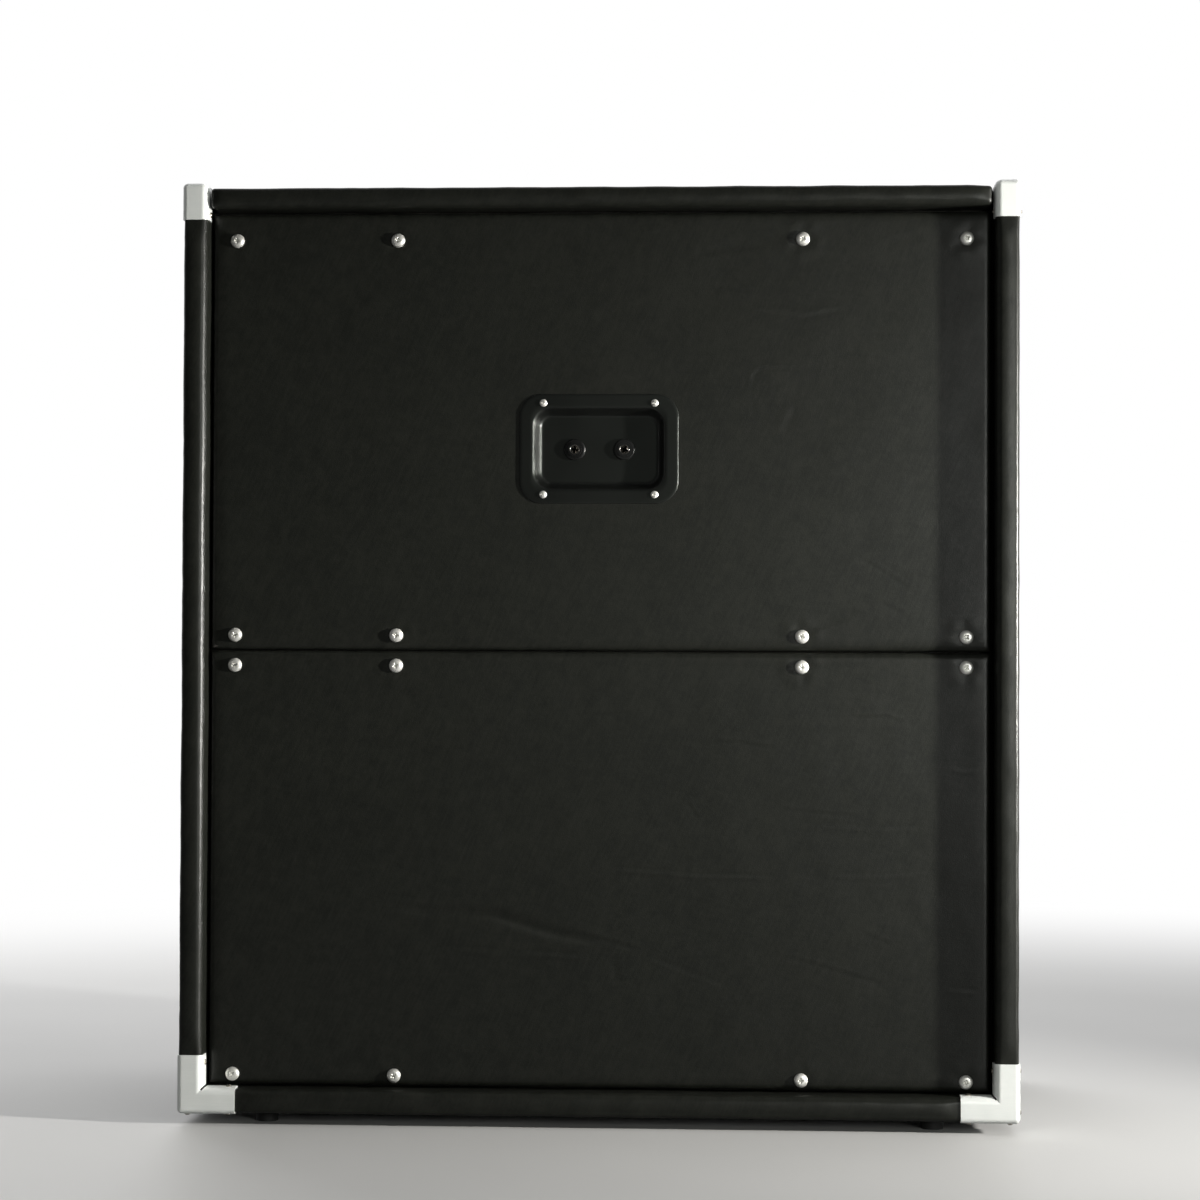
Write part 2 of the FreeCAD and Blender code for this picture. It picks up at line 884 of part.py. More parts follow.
def jack_nut(spot):
    """The round nut that clamps a jack to the dish."""
    nut = rod(jack_nut_width, jack_nut_height, spot, REAR)
    nut = nut.makeFillet(jack_nut_round, edges_at(nut, y=spot.y - jack_nut_height))
    bore = jack_bush + 2 * jack_play
    return nut.cut(rod(bore, jack_nut_height + 2 * overrun, spot + FRONT * overrun, REAR))


def lug_places(spot):
    """Where a jack's two solder lugs leave its body."""
    y = spot.y + dish_sheet + jack_body_length
    return [Vector(spot.x, y, spot.z + z) for z in (-lug_spacing / 2, lug_spacing / 2)]


def jack_lugs():
    """The solder lugs of both jacks."""
    lugs = []
    for _, spot in jack_spots():
        for p in lug_places(spot):
            lugs.append(box(
                (p.x - lug_width / 2, p.x + lug_width / 2),
                (p.y, p.y + lug_length),
                (p.z - lug / 2, p.z + lug / 2),
            ))
    return lugs


def handle_parts(cutters):
    """The right handle's dish, and the bar that crosses it, cut to the dish's own hollow."""
    solid, hollow = dish(handle_rim, handle_mouth, handle_floor, handle_depth, handle_sheet, handle_bend)
    grip_rise = handle_mouth_height / 2 - grip_drop
    bar_start = Vector(-handle_mouth_width / 2, grip_rise, -grip_sink)
    bar = rod(grip_width, handle_mouth_width, bar_start, RIGHT).common(hollow)
    place = Vector(half_width, 0, mid_z)
    return drilled(face_right(solid, place), cutters), face_right(bar, place)


def handle_places():
    """Under the heads of the right handle's screws."""
    x = half_width + handle_sheet
    across = handle_rim[0] / 2 - handle_screw_inset
    up = handle_rim[1] / 2 - handle_screw_inset
    places = []
    for y, z in ((across, 0), (-across, 0)):
        places.append((Vector(x, y, mid_z + z), RIGHT))
    corner = handle_mouth_width / 2 - handle_mouth_round
    for y in (-corner, corner):
        for z in (-up, up):
            places.append((Vector(x, y, mid_z + z), RIGHT))
    return places


def handle_hole():
    """The hole for the handle's dish in the right side board and its covering."""
    slug = dish_hole(handle_mouth, handle_bend, handle_hole_play, wall)
    return face_right(slug, Vector(half_width, 0, mid_z))


# Feet


def foot_spots():
    """The middles of the feet's upper faces."""
    x = half_width - foot_from_side
    y = half_depth - foot_from_end
    return [Vector(sx * x, sy * y, base_z) for sx in (-1, 1) for sy in (-1, 1)]


def foot_places():
    """Under the heads of the feet's screws."""
    return [(p + DOWN * (foot_height - foot_floor), DOWN) for p in foot_spots()]


def rubber_feet(cutters):
    """Tapered feet with a well for the screw's head."""
    section = [
        (0, 0),
        (foot_top_width / 2, 0),
        (foot_width / 2, -foot_height),
        (foot_well_width / 2, -foot_height),
        (foot_well_width / 2, -foot_height + foot_floor),
        (0, -foot_height + foot_floor),
    ]
    foot = spin(section)
    return [drilled(aimed(foot, p, UP), cutters) for p in foot_spots()]


# Loudspeakers, on their own axes: +Z points to the rear and 0 is the baffle's rear face


def basket():
    """The pressed basket: flange, windowed cone, rear ring and the spider's seat."""
    flange = speaker_width / 2
    bore = flange_bore / 2
    front = gasket
    rear = basket_rear_width / 2
    seat = spider_width / 2
    section = [
        (flange, front),
        (flange, front + basket_sheet),
        (bore + basket_sheet, front + basket_sheet),
        (rear, basket_stand),
        (rear, basket_stand + basket_sheet),
        (gap_width / 2, basket_stand + basket_sheet),
        (gap_width / 2, basket_stand),
        (seat - spider_seat, basket_stand),
        (seat - spider_seat, spider_stand + cone_sheet),
        (seat, spider_stand + cone_sheet),
        (seat, basket_stand),
        (rear - basket_sheet, basket_stand),
        (bore, front + basket_sheet),
        (bore, front),
    ]
    solid = spin(section)
    low = front + (basket_stand - front) * window_front_share
    high = front + (basket_stand - front) * window_rear_share
    pane = box((rear - basket_sheet, flange), (-window_width / 2, window_width / 2), (low, high))
    for step in range(basket_windows):
        turned = pane.copy()
        turned.rotate(Vector(0, 0, 0), UP, 360 * (step + window_turn_share) / basket_windows)
        solid = solid.cut(turned)
    return solid


def waved_ring(inner, outer, stand, wave, waves):
    """A thin ring with corrugations: a zigzag of flats about its mid plane, one sheet thick."""
    count = 2 * waves
    radii = [inner + (outer - inner) * step / count for step in range(count + 1)]
    lift = [wave * (step % 2) for step in range(count + 1)]
    front = [(r, stand - h) for r, h in zip(radii, lift)]
    rear = [(r, stand - h + cone_sheet) for r, h in zip(radii, lift)]
    return spin(front + rear[::-1])


def surround():
    """The soft ring between the cone and the basket's flange."""
    inner = cone_width / 2 + soft_play
    return waved_ring(inner, gasket_bore / 2, gasket - cone_sheet, surround_wave, surround_waves)


def spider():
    """The soft disc that centres the coil."""
    neck = coil_bore / 2 + coil_former + soft_play
    return waved_ring(neck, spider_width / 2, spider_stand, spider_wave, spider_waves)


def bent_line(start, end, bulge):
    """An arc between two (radius, height) points, swollen to the front by bulge at its middle."""
    middle = Vector((start[0] + end[0]) / 2, 0, (start[1] + end[1]) / 2 - bulge)
    return Part.Arc(Vector(start[0], 0, start[1]), middle, Vector(end[0], 0, end[1])).toShape()


def cone():
    """The curved paper cone, from its neck on the coil's former to its edge."""
    neck = coil_bore / 2 + coil_former
    edge = cone_width / 2
    front = gasket - cone_sheet
    inner_front = (neck, neck_stand - cone_sheet)
    outer_front = (edge, front)
    inner_rear = (neck, neck_stand)
    outer_rear = (edge, front + cone_sheet)
    section = [
        bent_line(inner_front, outer_front, cone_bulge),
        Part.makeLine(Vector(edge, 0, front), Vector(edge, 0, front + cone_sheet)),
        bent_line(outer_rear, inner_rear, cone_bulge),
        Part.makeLine(Vector(neck, 0, neck_stand), Vector(neck, 0, neck_stand - cone_sheet)),
    ]
    return spin(section)


def cone_front_at(radius):
    """How far behind the baffle the cone's front lies at a radius."""
    neck = coil_bore / 2 + coil_former
    arc = bent_line((neck, neck_stand - cone_sheet), (cone_width / 2, gasket - cone_sheet), cone_bulge)
    ray = Part.makeLine(Vector(radius, 0, -neck_stand), Vector(radius, 0, 2 * neck_stand))
    return arc.distToShape(ray)[1][0][0].z


def dust_cap():
    """A shallow dome glued to the cone's front."""
    radius = cap_width / 2
    base = cone_front_at(radius)
    outer = bent_dome(radius, base, cap_rise)
    inner = bent_dome(radius - cone_sheet, base, cap_rise - cone_sheet)
    section = [
        outer,
        Part.makeLine(Vector(0, 0, base - cap_rise), Vector(0, 0, base - cap_rise + cone_sheet)),
        inner,
        Part.makeLine(Vector(radius - cone_sheet, 0, base), Vector(radius, 0, base)),
    ]
    return spin(Part.__sortEdges__(section))


def bent_dome(radius, base, rise):
    """The arc of a dome's section that stands in front of its base."""
    ball = (radius ** 2 + rise ** 2) / (2 * rise)
    turn = math.asin(radius / ball) / 2
    middle = Vector(ball * math.sin(turn), 0, base - rise + ball - ball * math.cos(turn))
    return Part.Arc(Vector(radius, 0, base), middle, Vector(0, 0, base - rise)).toShape()


def voice_coil():
    """The coil's former and its winding, which hangs in the motor's gap."""
    inner = coil_bore / 2
    start = neck_stand - cone_sheet
    former = [
        (inner, start),
        (inner + coil_former, start),
        (inner + coil_former, start + former_length),
        (inner, start + former_length),
    ]
    middle = basket_stand + basket_sheet + front_plate / 2
    wire = inner + coil_former + coil_wire
    winding = [
        (inner + coil_former, middle - coil_length / 2),
        (wire, middle - coil_length / 2),
        (wire, middle + coil_length / 2),
        (inner + coil_former, middle + coil_length / 2),
    ]
    return [spin(former), spin(winding)]


def ring(outer, inner, start, thick):
    """A flat ring behind the baffle."""
    return spin([
        (inner / 2, start),
        (outer / 2, start),
        (outer / 2, start + thick),
        (inner / 2, start + thick),
    ])


def yoke(start):
    """The rear plate with its vented pole, which ends level with the front plate."""
    tip = start - magnet - front_plate
    return spin([
        (pole_vent / 2, tip),
        (pole_width / 2, tip),
        (pole_width / 2, start),
        (front_plate_width / 2, start),
        (front_plate_width / 2, start + yoke_plate),
        (pole_vent / 2, start + yoke_plate),
    ])


def strip_centre(across, up):
    """Where a terminal strip sits on the basket's rear ring, towards the cabinet's middle."""
    radius = basket_rear_width / 2 - strip_width / 2
    slant = math.radians(strip_angle)
    stand = basket_stand + basket_sheet
    return Vector(-across * radius * math.cos(slant), -up * radius * math.sin(slant), stand)


def terminals(across, up):
    """A terminal strip and its two tabs, on the loudspeaker's own axes."""
    centre = strip_centre(across, up)
    block = box((-strip_width / 2, strip_width / 2), (-strip_length / 2, strip_length / 2), (0, strip))
    tabs = []
    for y in (-tab_spacing / 2, tab_spacing / 2):
        wide = (y - tab_width / 2, y + tab_width / 2)
        tabs.append(box((-tab / 2, tab / 2), wide, (strip, strip + tab_length)))
    heading = Rotation(UP, math.degrees(math.atan2(up, across)))
    for solid in [block] + tabs:
        solid.Placement = Placement(centre, heading)
    return [block] + tabs


def speaker_places(centre):
    """Under the heads of one loudspeaker's screws."""
    y = centre.y - gasket - basket_sheet
    places = []
    for step in range(bolts):
        turn = 2 * math.pi * (step + bolt_turn_share) / bolts
        x = centre.x + bolt_circle / 2 * math.cos(turn)
        z = centre.z + bolt_circle / 2 * math.sin(turn)
        places.append((Vector(x, y, z), REAR))
    return places


# Leads: straight runs joined by tangent arcs


def lead(points):
    """A round lead along hand-chosen points; each arc is as large as its two runs allow."""
    corners = [Vector(*p) for p in points]
    edges = []
    start = corners[0]
    length = 0.0
    radii = []
    for before, corner, after in zip(corners, corners[1:], corners[2:]):
        back = before - corner
        on = after - corner
        turn = math.pi - back.getAngle(on)
        cut = lead_bend_share * min(back.Length, on.Length)
        radii.append(cut / math.tan(turn / 2))
        back.normalize()
        on.normalize()
        enter = corner + back * cut
        leave = corner + on * cut
        halfway = (back + on).normalize()
        sink = radii[-1] / math.cos(turn / 2) - radii[-1]
        edges.append(Part.LineSegment(start, enter).toShape())
        edges.append(Part.Arc(enter, corner + halfway * sink, leave).toShape())
        length += edges[-2].Length + edges[-1].Length
        start = leave
    edges.append(Part.LineSegment(start, corners[-1]).toShape())
    length += edges[-1].Length
    path = Part.Wire(edges)
    heading = (corners[1] - corners[0]).normalize()
    section = Part.Wire(Part.makeCircle(lead_width / 2, corners[0], heading))
    solid = path.makePipeShell([section], True, False)
    share = solid.Volume / (math.pi * lead_width ** 2 / 4 * length)
    print("lead", round(length), "mm, least radius", round(min(radii), 1), "volume share", round(share, 4))
    return solid


def lead_routes():
    """From each jack's rear to the terminal strips of the two loudspeakers on its side."""
    routes = []
    _, spot = jack_spots()[1]
    upper_lug, lower_lug = lug_places(spot)[1], lug_places(spot)[0]
    out = lug_length
    strip_at = strip_centre(1, 1)
    tab_y = baffle_rear - strip_at.z - strip - tab_length
    across = speaker_across + strip_at.x
    for lug_place, up, middle in ((upper_lug, 1, upper_lead_shares), (lower_lug, -1, lower_lead_shares)):
        start = Vector(lug_place.x, lug_place.y + out, lug_place.z)
        end = Vector(across, tab_y, mid_z + up * (speaker_up + strip_at.y))
        way = end - start
        inner = [(start.x + way.x * x, start.y + way.y * y, start.z + way.z * z) for x, y, z in middle]
        routes.append([tuple(start)] + inner + [tuple(end)])
    return routes


def build():
    """Makes every node of the cabinet."""
    os.makedirs("parts", exist_ok=True)
    corner_places = four_places(lower_corner_places() + upper_cap_places())
    corner_holes = holes(corner_screw, corner_places)
    handle_holes = holes(handle_screw, handle_places())
    foot_holes = holes(foot_screw, foot_places())
    back_holes = holes(back_screw, back_places())
    dish_holes = holes(dish_screw, dish_places())

    side, side_covering = side_parts(corner_holes + handle_holes + [handle_hole()])
    save("right_side_board", side)
    save("left_side_board", mirrored(side, RIGHT))
    save("right_side_covering", side_covering)
    save("left_side_covering", mirrored(side_covering, RIGHT))
    top, top_covering = top_parts()
    save("top_board", top)
    save("top_covering", top_covering)
    bottom, bottom_covering = bottom_parts(corner_holes + foot_holes)
    save("bottom_board", bottom)
    save("bottom_covering", bottom_covering)

    for place, solid in four_ways(drilled(lower_corner(), corner_holes)).items():
        save(f"{place}_lower_corner", solid)
    for place, solid in four_ways(drilled(upper_cap(), corner_holes)).items():
        save(f"{place}_upper_cap", solid)
    save("corner_screws", *screws(corner_screw, corner_places))

    dish_slug = dish_hole(jack_mouth, dish_bend, dish_hole_play, skin + back_board)
    dish_slug = face_rear(dish_slug, Vector(0, back_face, dish_z))
    upper, upper_covering = back_parts(True, back_holes + dish_holes + [dish_slug])
    save("upper_back_board", upper)
    save("upper_back_covering", upper_covering)
    lower, lower_covering = back_parts(False, back_holes)
    save("lower_back_board", lower)
    save("lower_back_covering", lower_covering)
    save("back_screws", *screws(back_screw, back_places()))
    save("back_cleats", *back_cleats(back_holes))
    save("centre_rail", centre_rail(back_holes))
    save("centre_post", centre_post())

    save("jack_dish", jack_dish(dish_holes))
    save("jack_dish_screws", *screws(dish_screw, dish_places()))
    sleeves = []
    for hand, spot in jack_spots():
        body, sleeve = jack(spot)
        save(f"{hand}_jack", body)
        sleeves.append(sleeve)
    save("jack_sleeves", *sleeves)
    save("jack_nuts", *[jack_nut(spot) for _, spot in jack_spots()])
    save("jack_lugs", *jack_lugs())

    handle, grip = handle_parts(handle_holes)
    save("right_handle_dish", handle)
    save("left_handle_dish", mirrored(handle, RIGHT))
    save("right_handle_grip", grip)
    save("left_handle_grip", mirrored(grip, RIGHT))
    right_screws = screws(handle_screw, handle_places())
    save("handle_screws", *right_screws, *[mirrored(s, RIGHT) for s in right_screws])

    save("rubber_feet", *rubber_feet(foot_holes))
    save("foot_screws", *screws(foot_screw, foot_places()))

    spots = speaker_centres()
    bolt_places = [place for _, centre, _, _ in spots for place in speaker_places(centre)]
    bolt_holes = holes(speaker_screw, bolt_places)
    save("baffle_board", baffle_board(bolt_holes))
    save("baffle_cleats", *baffle_cleats())
    save("grille_frame", grille_frame())
    save("grille_cloth", grille_cloth())
    save("grille_pads", *grille_pads())

    magnet_stand = basket_stand + basket_sheet + front_plate
    fixed = {
        "speaker_baskets": basket(),
        "speaker_gaskets": ring(speaker_width, gasket_bore, 0, gasket),
        "speaker_front_plates": ring(front_plate_width, gap_width, basket_stand + basket_sheet, front_plate),
        "speaker_magnets": ring(magnet_width, magnet_bore, magnet_stand, magnet),
        "speaker_yokes": yoke(magnet_stand + magnet),
        "speaker_surrounds": surround(),
        "speaker_spiders": spider(),
    }
    for name, solid in fixed.items():
        save(name, *[drilled(face_rear(solid, centre), bolt_holes) for _, centre, _, _ in spots])
    strips = [face_rear_all(terminals(across, up), centre) for _, centre, across, up in spots]
    save("speaker_terminals", *[solid for group in strips for solid in group])
    moving = [cone(), dust_cap()] + voice_coil()
    for name, centre, _, _ in spots:
        save(f"{name}_cone", *face_rear_all(moving, centre))
    save("speaker_screws", *screws(speaker_screw, bolt_places))

    leads = [lead(route) for route in lead_routes()]
    save("speaker_leads", *leads, *[mirrored(one, RIGHT) for one in leads])


build()
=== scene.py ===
import json
import math

import bmesh
import bpy
import numpy as np
from mathutils import Matrix, Vector

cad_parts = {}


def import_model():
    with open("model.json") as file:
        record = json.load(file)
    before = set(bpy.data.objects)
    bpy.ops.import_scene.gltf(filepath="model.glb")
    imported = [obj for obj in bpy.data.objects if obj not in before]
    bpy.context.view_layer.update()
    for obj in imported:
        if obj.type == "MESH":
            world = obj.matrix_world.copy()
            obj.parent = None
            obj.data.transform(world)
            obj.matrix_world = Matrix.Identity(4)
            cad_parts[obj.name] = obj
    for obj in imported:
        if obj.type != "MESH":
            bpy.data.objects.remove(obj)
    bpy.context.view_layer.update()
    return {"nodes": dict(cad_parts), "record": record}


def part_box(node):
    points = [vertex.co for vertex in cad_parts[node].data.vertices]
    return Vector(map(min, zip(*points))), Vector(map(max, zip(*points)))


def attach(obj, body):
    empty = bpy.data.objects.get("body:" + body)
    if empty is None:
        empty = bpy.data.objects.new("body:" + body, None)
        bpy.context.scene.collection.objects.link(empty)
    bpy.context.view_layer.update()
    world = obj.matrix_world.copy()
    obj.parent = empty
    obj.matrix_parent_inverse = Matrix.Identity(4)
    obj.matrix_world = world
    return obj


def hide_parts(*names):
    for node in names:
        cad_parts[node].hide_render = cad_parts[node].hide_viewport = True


# Looks of the guitar speaker cabinet. Metres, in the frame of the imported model:
# the rear with the jacks faces -Y, the grille faces +Y, +Z is up.

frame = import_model()
nodes = frame["nodes"]
MM = 0.001


def span(node):
    """The lowest and highest corner of a CAD node as two arrays."""
    low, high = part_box(node)
    return np.array(low), np.array(high)


# Shader helpers


def node(tree, kind, inputs=None, **settings):
    """Adds a node, sets it up, and links or sets its inputs."""
    made = tree.nodes.new(kind)
    for key, value in settings.items():
        setattr(made, key, value)
    for key, value in (inputs or {}).items():
        if isinstance(value, bpy.types.NodeSocket):
            tree.links.new(value, made.inputs[key])
        else:
            made.inputs[key].default_value = value
    return made


def math_node(tree, operation, first, second=0.0):
    """A math node's result."""
    return node(tree, "ShaderNodeMath", {0: first, 1: second}, operation=operation).outputs[0]


def vector_node(tree, operation, first, second):
    """A vector math node's result, which is a number for a dot product."""
    made = node(tree, "ShaderNodeVectorMath", {0: first, 1: second}, operation=operation)
    return made.outputs["Value" if operation == "DOT_PRODUCT" else "Vector"]


def weighted(tree, *terms):
    """The sum of values, each times its weight."""
    total = None
    for value, weight in terms:
        term = math_node(tree, "MULTIPLY", value, weight)
        total = term if total is None else math_node(tree, "ADD", total, term)
    return total


def mix_colour(tree, factor, first, second):
    """A colour between two others. The mix node's colour sockets are told apart by number only."""
    return node(tree, "ShaderNodeMix", {"Factor": factor, 6: first, 7: second}, data_type="RGBA").outputs[2]


def ramp(tree, value, low, high, to_low=0.0, to_high=1.0):
    """A value eased from one range to another."""
    inputs = {"Value": value, "From Min": low, "From Max": high, "To Min": to_low, "To Max": to_high}
    return node(tree, "ShaderNodeMapRange", inputs, interpolation_type="SMOOTHSTEP").outputs[0]


def noise(tree, vector, scale, detail=2.0, roughness=0.5):
    """A noise texture's value."""
    inputs = {"Vector": vector, "Scale": scale, "Detail": detail, "Roughness": roughness}
    return node(tree, "ShaderNodeTexNoise", inputs).outputs[0]


def pattern_group(name, draw):
    """A node group that turns a place and a feature size into a tone, 0 to 1, and a height. The draw function gets
    the place twice, in features and in metres."""
    tree = bpy.data.node_groups.new(name, "ShaderNodeTree")
    face = tree.interface
    face.new_socket("Vector", in_out="INPUT", socket_type="NodeSocketVector")
    face.new_socket("Size", in_out="INPUT", socket_type="NodeSocketFloat")
    face.new_socket("Tone", in_out="OUTPUT", socket_type="NodeSocketFloat")
    face.new_socket("Height", in_out="OUTPUT", socket_type="NodeSocketFloat")
    start = tree.nodes.new("NodeGroupInput")
    per_size = math_node(tree, "DIVIDE", 1.0, start.outputs["Size"])
    cells = node(tree, "ShaderNodeVectorMath", {0: start.outputs["Vector"], "Scale": per_size}, operation="SCALE")
    tone, height = draw(tree, cells.outputs[0], start.outputs["Vector"])
    node(tree, "NodeGroupOutput", {"Tone": tone, "Height": height})
    return tree


ACROSS_LINES = (0.91, 0.7, -0.42)
ALONG_LINES = (0.034, 0.016, 0.073)


def draw_leather(tree, cells, place):
    """Pebbles between creases over a mottle of many sizes, crossed by faint drawn lines that lean over."""
    shift = node(tree, "ShaderNodeTexNoise", {"Vector": cells, "Scale": 0.7, "Detail": 1.0}).outputs["Color"]
    bent = node(tree, "ShaderNodeVectorMath", {0: shift, "Scale": 0.55}, operation="SCALE").outputs[0]
    bent = vector_node(tree, "ADD", cells, bent)
    edge = node(tree, "ShaderNodeTexVoronoi", {"Vector": bent, "Scale": 1.0}, feature="DISTANCE_TO_EDGE").outputs[0]
    pebble = ramp(tree, edge, 0.0, 0.32)
    across, along = (vector_node(tree, "DOT_PRODUCT", cells, way) for way in (ACROSS_LINES, ALONG_LINES))
    leaning = node(tree, "ShaderNodeCombineXYZ", {0: across, 2: along}).outputs[0]
    lines = noise(tree, leaning, 0.8)
    mottle = noise(tree, cells, 0.04, 5.0, 0.52)
    blotch = noise(tree, cells, 0.12, 5.0, 0.9)
    slow = noise(tree, place, 16.0, 3.0, 0.6)
    tone = weighted(tree, (blotch, 0.58), (lines, 0.27), (slow, 0.15))
    return ramp(tree, tone, 0.2, 0.8), weighted(tree, (pebble, 0.5), (mottle, 4.2))


def draw_brushed(tree, cells, place):
    """Fine lines drawn out along X, under faint clouds."""
    stretch = vector_node(tree, "MULTIPLY", cells, (0.05, 1.0, 1.0))
    lines = noise(tree, stretch, 1.0, 3.0, 0.6)
    cloud = noise(tree, place, 60.0)
    return weighted(tree, (lines, 0.55), (cloud, 0.45)), lines


def draw_peel(tree, cells, place):
    """The low, close dimples of sprayed or moulded skin."""
    dimple = node(tree, "ShaderNodeTexVoronoi", {"Vector": cells, "Scale": 1.0}, feature="SMOOTH_F1").outputs[0]
    fine = noise(tree, cells, 2.0)
    slow = noise(tree, place, 22.0)
    height = math_node(tree, "ADD", dimple, math_node(tree, "MULTIPLY", fine, 0.4))
    return slow, math_node(tree, "MULTIPLY", height, 0.6)


def draw_weave(tree, cells, place):
    """Plain weave in the XZ plane: by turns the warp and the weft thread lies on top, each a round ridge."""
    parts = node(tree, "ShaderNodeSeparateXYZ", {0: cells})
    across, up = parts.outputs[0], parts.outputs[2]
    ridges = []
    for along, over in ((across, up), (up, across)):
        ridge = math_node(tree, "ABSOLUTE", math_node(tree, "SINE", math_node(tree, "MULTIPLY", along, math.pi)))
        rise = math_node(tree, "SINE", math_node(tree, "MULTIPLY", over, math.pi))
        flip = math_node(tree, "PINGPONG", math_node(tree, "FLOOR", along), 1.0)
        turn = math_node(tree, "SUBTRACT", 1.0, math_node(tree, "MULTIPLY", flip, 2.0))
        ridges.append((ridge, math_node(tree, "MULTIPLY", rise, turn)))
    warp = math_node(tree, "MULTIPLY", ridges[0][0], ramp(tree, ridges[0][1], -1.0, 1.0, 0.25, 1.0))
    weft = math_node(tree, "MULTIPLY", ridges[1][0], ramp(tree, ridges[1][1], 1.0, -1.0, 0.25, 1.0))
    height = math_node(tree, "MAXIMUM", warp, weft)
    fuzz = noise(tree, cells, 3.0)
    tone = math_node(tree, "MULTIPLY", height, ramp(tree, fuzz, 0.2, 0.8, 0.6, 1.0))
    return tone, height


def draw_wood(tree, cells, place):
    """Long grain: noise drawn out along X, with pores."""
    stretch = vector_node(tree, "MULTIPLY", cells, (0.06, 1.0, 1.0))
    rings = noise(tree, stretch, 0.8, 4.0, 0.6)
    pores = noise(tree, stretch, 6.0)
    tone = ramp(tree, rings, 0.3, 0.7)
    return tone, math_node(tree, "MULTIPLY", pores, tone)


def draw_fibres(tree, cells, place):
    """Felted fibres, as in paper, board and felt."""
    tangle = noise(tree, cells, 1.0, 5.0, 0.7)
    cloud = noise(tree, place, 30.0)
    return math_node(tree, "MULTIPLY", tangle, ramp(tree, cloud, 0.2, 0.8, 0.7, 1.2)), tangle


GROUPS = {
    "leather": pattern_group("leather grain", draw_leather),
    "brushed": pattern_group("drawn metal", draw_brushed),
    "peel": pattern_group("sprayed skin", draw_peel),
    "weave": pattern_group("plain weave", draw_weave),
    "wood": pattern_group("wood grain", draw_wood),
    "fibres": pattern_group("felted fibres", draw_fibres),
}


def finish(name, pattern, size, dark, light, rough, bump, metal=0.0, **constants):
    """A principled material: tone drives colour and roughness, height drives the bump."""
    made = bpy.data.materials.new(name)
    made.use_nodes = True
    tree = made.node_tree
    shader = tree.nodes["Principled BSDF"]
    place = tree.nodes.new("ShaderNodeTexCoord").outputs["Object"]
    group = node(tree, "ShaderNodeGroup", {"Vector": place, "Size": size}, node_tree=GROUPS[pattern])
    tone = ramp(tree, group.outputs["Tone"], 0.15, 0.85)
    tree.links.new(mix_colour(tree, tone, (*dark, 1.0), (*light, 1.0)), shader.inputs["Base Color"])
    tree.links.new(ramp(tree, tone, 0.0, 1.0, *rough), shader.inputs["Roughness"])
    relief = node(tree, "ShaderNodeBump", {"Strength": 1.0, "Distance": bump, "Height": group.outputs["Height"]})
    tree.links.new(relief.outputs[0], shader.inputs["Normal"])
    shader.inputs["Metallic"].default_value = metal
    for key, value in constants.items():
        shader.inputs[key.replace("_", " ")].default_value = value
    return made


